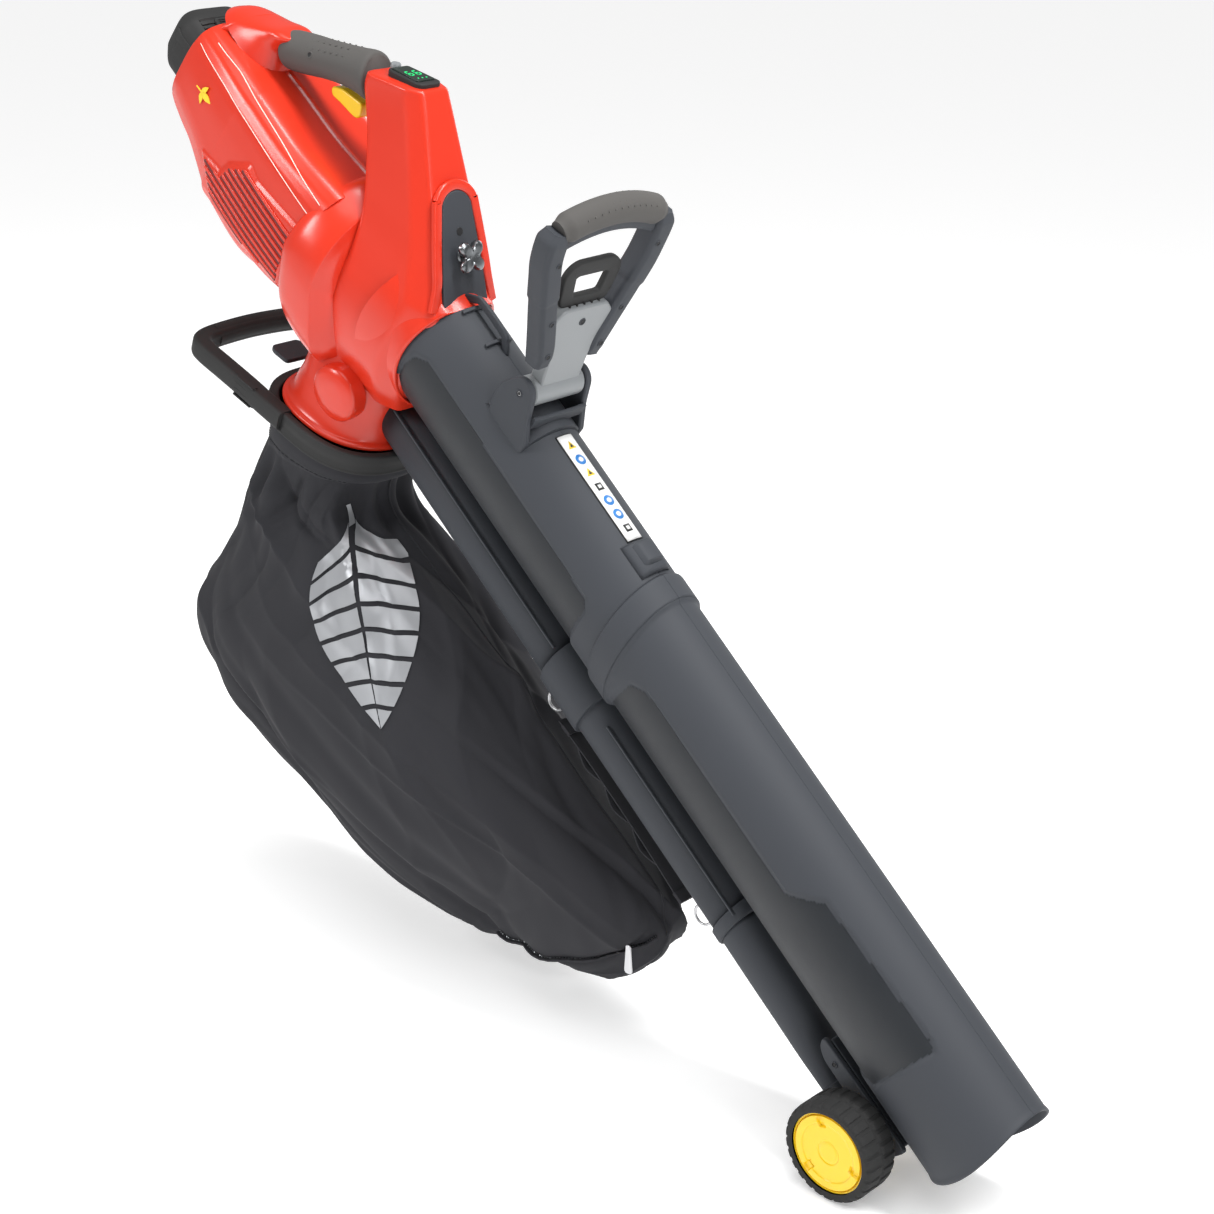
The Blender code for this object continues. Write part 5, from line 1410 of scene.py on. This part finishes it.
def build_bag(settings):
    rng = np.random.default_rng(11)
    count, rows = 420, 300
    turn = full_turn(count)
    points = bag_shape(turn, rows)
    v, u = np.meshgrid(np.linspace(0, 1, rows), turn, indexing="ij")
    hang = 0.006 * crease_field(u, v, 60, rng)
    pleats = 0.0045 * np.sin(u * 11 + 2.0 * np.sin(u * 3)) * (1 - ease(v, 0.1, 0.42)) * ease(v, 0.05, 0.12)
    ripple = 0.0016 * crease_field(u, v, 130, rng)
    belly = 0.0035 * np.sin(u * 5 + 6.0 * v
                            + 1.5 * np.sin(v * 9)) * ease(v, 0.35, 0.55) * (1 - ease(v, 0.85, 1.0))
    band = 0.0014 * (1 - ease(v, 0.098, 0.104))
    pinched = 0.0085 * sharp_creases(u, v, rng, 60)
    relief = (hang + pleats + ripple + belly + pinched) * ease(v, 0.07, 0.16) * settings.fold_depth + band
    shaped = raised(points, -relief)
    cloth_skin = skin("bag_cloth", shaped[:, ::-1], frame=HANGING, thickness=0.0012)
    close_bottom(cloth_skin)
    settle(cloth_skin, "bag_fabric", "bag", ("collection_bag",), 180)
    stitches(shaped, "bag_collar_stitch", 0.092, 0.0008)
    # a dart seam down the near side and the bottom zip
    for name, at, start, end in (("front", 0.02, 0.1, 0.86), ("rear", math.pi, 0.1, 0.8)):
        column = int(round((at % FULL) / FULL * count)) % count
        line = shaped[int(rows * start):int(rows * end):4, column]
        settle(sweep("bag_seam_" + name, line, circle(0.0013, 8), up=(0, 1, 0), frame=HANGING), "webbing",
               "bag")
    build_print(shaped)
    build_zipper(shaped)


def close_bottom(obj):
    bm = bmesh.new()
    bm.from_mesh(obj.data)
    edges = [e for e in bm.edges if e.is_boundary]
    low = sum(e.verts[0].co.z for e in edges) / len(edges)
    bottom = [e for e in edges if e.verts[0].co.z < low]
    bmesh.ops.holes_fill(bm, edges=bottom, sides=0)
    bm.to_mesh(obj.data)
    bm.free()


def stitches(shaped, name, v, radius):
    """A run of short stitches round the bag at one height."""
    row = shaped[int(v * (len(shaped) - 1))]
    bits = []
    for k in range(0, len(row), 5):
        a, b = row[k], row[(k + 3) % len(row)]
        out = np.array([a[0] + 0.3, a[1], 0.0])
        out /= max(np.linalg.norm(out), 1e-9)
        lift = out * 0.0008
        bits.append(sweep("stitch", [a + lift * 0.4, (a + b) / 2 + lift, b + lift * 0.4],
                          circle(radius * 0.5, 5), frame=HANGING))
    settle(merged(name, bits), "webbing", "bag")


def build_print(shaped):
    """A broad silver leaf printed on the bag's near side: two halves cut by the veins, laid on the cloth."""
    rows, count = shaped.shape[:2]
    faces = [(i * count + j, i * count + (j + 1) % count, (i + 1) * count + (j + 1) % count,
              (i + 1) * count + j)
             for i in range(rows - 1) for j in range(count)]
    tree = BVHTree.FromPolygons([Vector(q) for q in shaped.reshape(-1, 3)], faces)
    centre, lean, length, width = Vector((-0.246, -0.09, -0.066)), math.radians(-76), 0.186, 0.118
    inward = Vector((-0.62, 0.78, 0.0)).normalized()
    aside = Vector((inward.y, -inward.x, 0.0))
    bm = bmesh.new()

    def lay(along, across):
        sideways = along * math.cos(lean) - across * math.sin(lean)
        upwards = along * math.sin(lean) + across * math.cos(lean)
        start = centre + aside * sideways + Vector((0, 0, upwards)) - inward * 0.4
        hit, normal = tree.ray_cast(start, inward)[:2]
        if hit is None:
            return None
        return bm.verts.new(HANGING @ (hit - normal * math.copysign(0.0013, normal.dot(inward))))

    def patch(left, right, steps):
        """Fills between two edges given as lists of points."""
        grid = []
        for a, b in zip(left, right):
            grid.append([lay(*(np.array(a) * (1 - k / steps) + np.array(b) * k / steps))
                         for k in range(steps + 1)])
        for upper, lower in zip(grid, grid[1:]):
            for k in range(steps):
                corners = [upper[k], upper[k + 1], lower[k + 1], lower[k]]
                if all(corners):
                    bm.faces.new(corners)

    def half_width(share):
        return width / 2 * math.sin(math.pi * min(max(share, 0.0), 1.0) ** 0.85) ** 0.9

    bands, gap = 8, 0.1
    for side in (-1, 1):
        for k in range(bands):
            lines = []
            for m in range(9):
                start = (k + gap + (1 - 2 * gap) * m / 8) / bands
                line = []
                for q in np.linspace(0.0, 1.0, 12):
                    share = start + 0.16 * q * (1 - start)
                    reach = 0.0026 * (1.1 - share) + (half_width(share) - 0.0026) * q
                    line.append((length * (0.5 - share) * -1, side * max(reach, 0.0)))
                lines.append(line)
            for a, b in zip(lines, lines[1:]):
                patch(a, b, 1)
    stalk = [(-length / 2 - 0.014 + 0.004 * k, -0.0022) for k in range(6)]
    patch(stalk, [(a, 0.0022) for a, _ in stalk], 1)
    settle(link_mesh("bag_leaf_print", bm), "silver_print", "bag")


def build_zipper(shaped):
    """A zip with its tape and teeth along the bag's lower front edge."""
    rows, count = shaped.shape[:2]
    line = []
    for k in range(60):
        share = k / 59
        row = int(rows * (0.905 - 0.15 * share ** 1.4))
        line.append(shaped[row, int(count * (0.76 + 0.215 * share)) % count])
    line = flow(line, 90)
    settle(sweep("bag_zip_tape", line, slab(0.012, 0.0022, 0.0007), up=(0, 0, 1), frame=HANGING), "webbing",
           "bag")
    teeth = []
    for a, b in zip(line, line[1:]):
        middle = (a + b) / 2
        teeth.append(sweep("tooth", [middle - (b - a) * 0.22, middle + (b - a) * 0.22],
                           slab(0.0042, 0.004, 0.0006, 1), frame=HANGING))
    settle(merged("bag_zip_teeth", teeth), "knob_metal", "bag")


def build_straps(settings):
    webbing = slab(0.025, 0.0018, 0.0006, 2)
    top = [(0.046, 0, -0.1308), (0.075, 0, -0.1295), (0.1, 0, -0.1282), (0.15, 0, -0.1276),
           (0.2, 0, -0.1282), (0.258, 0, -0.1308)]
    settle(sweep("bag_strap_webbing", flow(top, 40), webbing, up=(0, 0, 1)), "webbing", "bag",
           ("bag_strap",))
    for name, x in (("upper", 0.098), ("middle", 0.146), ("lower", 0.194)):
        bulge = [(x - 0.02, 0, -0.1296), (x - 0.012, 0, -0.1335), (x, 0, -0.1372), (x + 0.012, 0, -0.1335),
                 (x + 0.02, 0, -0.1296)]
        settle(sweep("strap_loop_" + name, flow(bulge, 24), slab(0.0244, 0.0017, 0.0006, 2), up=(0, 0, 1)),
               "webbing", "bag")
    for name, x in (("upper", 0.052), ("lower", 0.246)):
        fold = slab(0.0262, 0.0046, 0.0014, 2)
        settle(sweep("strap_keeper_" + name,
                     [(x, 0, -0.1304), (x + 0.006, 0, -0.13), (x + 0.012, 0, -0.1296)], fold), "webbing",
                     "bag")
    for name, x, z in (("upper", 0.026, -0.131), ("lower", 0.278, -0.1265)):
        turn = full_turn(40)
        path = np.column_stack([x + 0.01 * np.cos(turn), np.zeros(40), z + 0.01 * np.sin(turn)])
        settle(sweep("hook_ring_%s_wire" % name, path, circle(0.0014, 12), up=(0, 1, 0), loop=True), "steel",
               "hook_ring_" + name,
               ("hook_ring_" + name,))
        lug = TOOL @ Matrix.Translation((x, 0, z + 0.012)) @ Matrix.Rotation(math.pi / 2, 4, "X")
        outline = blunt([(-0.006, -0.0045), (0.006, -0.0045), (0.0085, 0.0075), (-0.0085, 0.0075)], 0.002, 3)
        settle(prism("hook_lug_" + name, outline, -0.0022, 0.0022, lug, 0.0006), "tube_plastic")
    pull = HANGING @ Matrix.Translation((0.068, -0.043, -0.316)) @ Matrix.Rotation(math.pi / 2, 4, "X")
    outline = blunt([(-0.0028, 0.0), (0.0028, 0.0), (0.0036, -0.012), (0.0048, -0.028), (0.003, -0.0305),
                     (-0.003, -0.0305), (-0.0048, -0.028),
                     (-0.0036, -0.012)], 0.0012, 2)
    settle(prism("zipper_pull_tab", outline, -0.0009, 0.0009, pull, 0.0004), "steel", "zipper_pull",
           ("zipper_pull",))


# ---------------------------------------------------------------- hidden works and stage

def dress_inner_nodes():
    """The working parts inside keep their own shapes and take a finish."""
    inner = {
        "tube_web_upper": "tube_plastic", "tube_web_lower": "tube_plastic", "motor_can": "steel",
        "motor_shaft": "steel",
        "motor_bearing": "steel", "motor_mount": "black_plastic", "impeller": "black_plastic",
        "circuit_board": "label_blue",
        "battery_terminal": "black_plastic",
    }
    for node, finish in inner.items():
        obj = frame["nodes"][node]
        obj.data.materials.clear()
        obj.data.materials.append(bpy.data.materials[finish])


def add_light(name, place, target, size, power, along=None):
    """A soft rectangular lamp; its long side follows the direction given."""
    data = bpy.data.lights.new(name, "AREA")
    data.shape = "RECTANGLE"
    data.size, data.size_y = size
    data.energy = power
    lamp = add_object(name, data)
    away = (Vector(place) - Vector(target)).normalized()
    lamp.rotation_euler = away.to_track_quat("Z", "Y").to_euler()
    lamp.location = place
    if along is not None:
        side = (Vector(along) - away * away.dot(Vector(along))).normalized()
        turned = Matrix((side, away.cross(side), away)).transposed().to_4x4()
        lamp.matrix_world = Matrix.Translation(place) @ turned


VIEW_AZIMUTH = math.radians(43.0)
VIEW_HEIGHT = math.radians(21.3)
VIEW_DISTANCE = 2.15
LENS_MM = 36.0 * 2300.0 / 1214.0


def build_stage(settings):
    floor_mesh = bpy.data.meshes.new("floor")
    half = 14.0
    floor_mesh.from_pydata([(-half, -half, -0.0006), (half, -half, -0.0006), (half, half, -0.0006),
                            (-half, half, -0.0006)], [], [(0, 1, 2, 3)])
    floor = add_object("floor", floor_mesh)
    paint = Finish("floor_paint", (0.92, 0.92, 0.92), 0.75, 0.0,
                   {"Specular IOR Level": 0.1, "Emission Color": (1.0, 1.0, 1.0, 1.0),
                                                                  "Emission Strength": 0.3})
    floor_mesh.materials.append(paint.material)
    world = bpy.data.worlds.new("studio")
    world.use_nodes = True
    background = world.node_tree.nodes["Background"]
    background.inputs["Color"].default_value = (1.0, 1.0, 1.0, 1.0)
    background.inputs["Strength"].default_value = settings.sky
    bpy.context.scene.world = world
    middle = TOOL_ORIGIN
    daylight = bpy.data.lights.new("daylight", "SUN")
    daylight.energy = settings.daylight
    daylight.angle = math.radians(50)
    sun = add_object("daylight", daylight)
    sun.rotation_euler = Vector((0.25, -0.15, 1.0)).to_track_quat("Z", "Y").to_euler()
    tube_axis = TOOL.to_3x3() @ Vector((1, 0, 0))
    add_light("key", (-1.3, -1.9, 1.9), middle, (0.6, 0.9), 30.0)
    add_light("long", middle + Vector((0.468, 0.076, 0.883)) * 2.1, middle, (2.6, 0.34), 56.0, tube_axis)
    add_light("side", (2.3, -1.0, 0.9), middle, (0.4, 1.2), 8.0)
    add_light("edge", (-0.6, 2.4, 1.4), middle, (1.4, 1.0), 14.0)
    az, el = VIEW_AZIMUTH, VIEW_HEIGHT
    back = Vector((math.sin(az) * math.cos(el), -math.cos(az) * math.cos(el), math.sin(el)))
    right = Vector((math.cos(az), math.sin(az), 0.0))
    up = back.cross(right)
    camera_data = bpy.data.cameras.new("camera")
    camera_data.sensor_width = 36.0
    camera_data.lens = LENS_MM
    camera = add_object("camera", camera_data)
    aimed = Matrix((right, up, back)).transposed().to_4x4()
    camera.matrix_world = Matrix.Translation(middle + back * VIEW_DISTANCE) @ aimed
    bpy.context.scene.camera = camera
    bpy.context.scene.view_settings.view_transform = "Standard"


# ---------------------------------------------------------------- add-on

class BlowerSettings(bpy.types.PropertyGroup):
    """Colours and sizes that a user would change."""
    body_colour: FloatVectorProperty(name="Body", description="Colour of the glossy housing",
                                     subtype="COLOR", size=3,
                                     default=(0.66, 0.0042, 0.0012), min=0, max=1)
    tube_colour: FloatVectorProperty(name="Tubes", description="Colour of the satin tubes", subtype="COLOR",
                                     size=3,
                                     default=(0.017, 0.0225, 0.031), min=0, max=1)
    grip_colour: FloatVectorProperty(name="Grips", description="Colour of the soft grips", subtype="COLOR",
                                     size=3,
                                     default=(0.05, 0.05, 0.053), min=0, max=1)
    accent_colour: FloatVectorProperty(name="Accents", description="Colour of the trigger and wheel discs",
                                       subtype="COLOR", size=3,
                                       default=(0.86, 0.5, 0.002), min=0, max=1)
    fabric_colour: FloatVectorProperty(name="Bag", description="Colour of the bag's cloth", subtype="COLOR",
                                       size=3,
                                       default=(0.0095, 0.0105, 0.0125), min=0, max=1)
    detail: FloatProperty(name="Detail", description="Spacing of the rings along the tubes", default=0.002,
                          min=0.001, max=0.01,
                          unit="LENGTH")
    fold_depth: FloatProperty(name="Folds", description="How deep the bag's folds are", default=1.0, min=0,
                              max=2)
    bag_round: FloatProperty(name="Bag round", description="Flat length of the cloth round the bag",
                             default=1.25, unit="LENGTH")
    bag_area: FloatProperty(name="Bag area", description="Flat area of the bag's cloth in square metres",
                            default=0.57)
    sky: FloatProperty(name="Sky", description="Strength of the even studio light", default=0.26, min=0,
                       max=5)
    daylight: FloatProperty(name="Daylight", description="Strength of the broad light from above",
                            default=1.35, min=0, max=9)


class BLOWER_OT_finishes(bpy.types.Operator):
    """Makes every material and finishes the hidden works."""
    bl_idname = "blower.finishes"
    bl_label = "Finishes"

    def execute(self, context):
        build_finishes(context.scene.blower)
        dress_inner_nodes()
        return {"FINISHED"}


class BLOWER_OT_suction_tubes(bpy.types.Operator):
    """Builds the wide tube's two sections and their collar."""
    bl_idname = "blower.suction_tubes"
    bl_label = "Suction tubes"

    def execute(self, context):
        build_upper_tube(context.scene.blower)
        build_lower_tube(context.scene.blower)
        return {"FINISHED"}


class BLOWER_OT_blow_tubes(bpy.types.Operator):
    """Builds the slim tube, its rings and its flat nozzle."""
    bl_idname = "blower.blow_tubes"
    bl_label = "Blow tubes"

    def execute(self, context):
        build_blow_tube(context.scene.blower)
        return {"FINISHED"}


class BLOWER_OT_fittings(bpy.types.Operator):
    """Builds the latch, the strap rib and the plain label."""
    bl_idname = "blower.fittings"
    bl_label = "Tube fittings"

    def execute(self, context):
        build_tube_fittings(context.scene.blower)
        build_label(context.scene.blower)
        return {"FINISHED"}


class BLOWER_OT_wheels(bpy.types.Operator):
    """Builds the two wheels, the axle and its bracket."""
    bl_idname = "blower.wheels"
    bl_label = "Wheels"

    def execute(self, context):
        build_wheels(context.scene.blower)
        return {"FINISHED"}


class BLOWER_OT_housing(bpy.types.Operator):
    """Builds the barrel with its louvres and rear rim."""
    bl_idname = "blower.housing"
    bl_label = "Motor housing"

    def execute(self, context):
        build_housing(context.scene.blower)
        return {"FINISHED"}


class BLOWER_OT_scroll(bpy.types.Operator):
    """Builds the fan's hood, cover and outlet elbow."""
    bl_idname = "blower.scroll"
    bl_label = "Fan scroll"

    def execute(self, context):
        build_scroll(context.scene.blower)
        build_outlet(context.scene.blower)
        return {"FINISHED"}


class BLOWER_OT_tower(bpy.types.Operator):
    """Builds the tower, the rear riser, the tongue and the knob."""
    bl_idname = "blower.tower"
    bl_label = "Tower"

    def execute(self, context):
        build_tower(context.scene.blower)
        build_tongue(context.scene.blower)
        return {"FINISHED"}


class BLOWER_OT_grip(bpy.types.Operator):
    """Builds the main grip, the trigger and the display."""
    bl_idname = "blower.grip"
    bl_label = "Grip and display"

    def execute(self, context):
        build_grip(context.scene.blower)
        build_display(context.scene.blower)
        return {"FINISHED"}


class BLOWER_OT_battery(bpy.types.Operator):
    """Builds the battery and its release."""
    bl_idname = "blower.battery"
    bl_label = "Battery"

    def execute(self, context):
        build_battery(context.scene.blower)
        return {"FINISHED"}


class BLOWER_OT_handle(bpy.types.Operator):
    """Builds the tilting handle and its bracket."""
    bl_idname = "blower.handle"
    bl_label = "Front handle"

    def execute(self, context):
        build_bracket(context.scene.blower)
        build_handle(context.scene.blower)
        return {"FINISHED"}


class BLOWER_OT_bag(bpy.types.Operator):
    """Builds the bag's frame, cloth and straps."""
    bl_idname = "blower.bag"
    bl_label = "Collection bag"

    def execute(self, context):
        build_bag_frame(context.scene.blower)
        build_bag(context.scene.blower)
        build_straps(context.scene.blower)
        return {"FINISHED"}


class BLOWER_OT_stage(bpy.types.Operator):
    """Builds the floor, the light and the camera."""
    bl_idname = "blower.stage"
    bl_label = "Stage"

    def execute(self, context):
        build_stage(context.scene.blower)
        return {"FINISHED"}


OPERATORS = (
    BLOWER_OT_finishes,
    BLOWER_OT_suction_tubes,
    BLOWER_OT_blow_tubes,
    BLOWER_OT_fittings,
    BLOWER_OT_wheels,
    BLOWER_OT_housing,
    BLOWER_OT_scroll,
    BLOWER_OT_tower,
    BLOWER_OT_grip,
    BLOWER_OT_battery,
    BLOWER_OT_handle,
    BLOWER_OT_bag,
    BLOWER_OT_stage,
)


class BLOWER_PT_panel(bpy.types.Panel):
    bl_label = "Leaf Blower"
    bl_idname = "BLOWER_PT_panel"
    bl_space_type = "VIEW_3D"
    bl_region_type = "UI"
    bl_category = "Blower"

    def draw(self, context):
        for name in BlowerSettings.__annotations__:
            self.layout.prop(context.scene.blower, name)
        for operator in OPERATORS:
            self.layout.operator(operator.bl_idname)


CLASSES = (BlowerSettings, *OPERATORS, BLOWER_PT_panel)


def register():
    for cls in CLASSES:
        bpy.utils.register_class(cls)
    bpy.types.Scene.blower = PointerProperty(type=BlowerSettings)


def unregister():
    del bpy.types.Scene.blower
    for cls in reversed(CLASSES):
        bpy.utils.unregister_class(cls)


def main():
    register()
    bpy.ops.blower.finishes()
    bpy.ops.blower.suction_tubes()
    bpy.ops.blower.blow_tubes()
    bpy.ops.blower.fittings()
    bpy.ops.blower.wheels()
    bpy.ops.blower.housing()
    bpy.ops.blower.scroll()
    bpy.ops.blower.tower()
    bpy.ops.blower.grip()
    bpy.ops.blower.battery()
    bpy.ops.blower.handle()
    bpy.ops.blower.bag()
    bpy.ops.blower.stage()


if __name__ == "__main__":
    main()
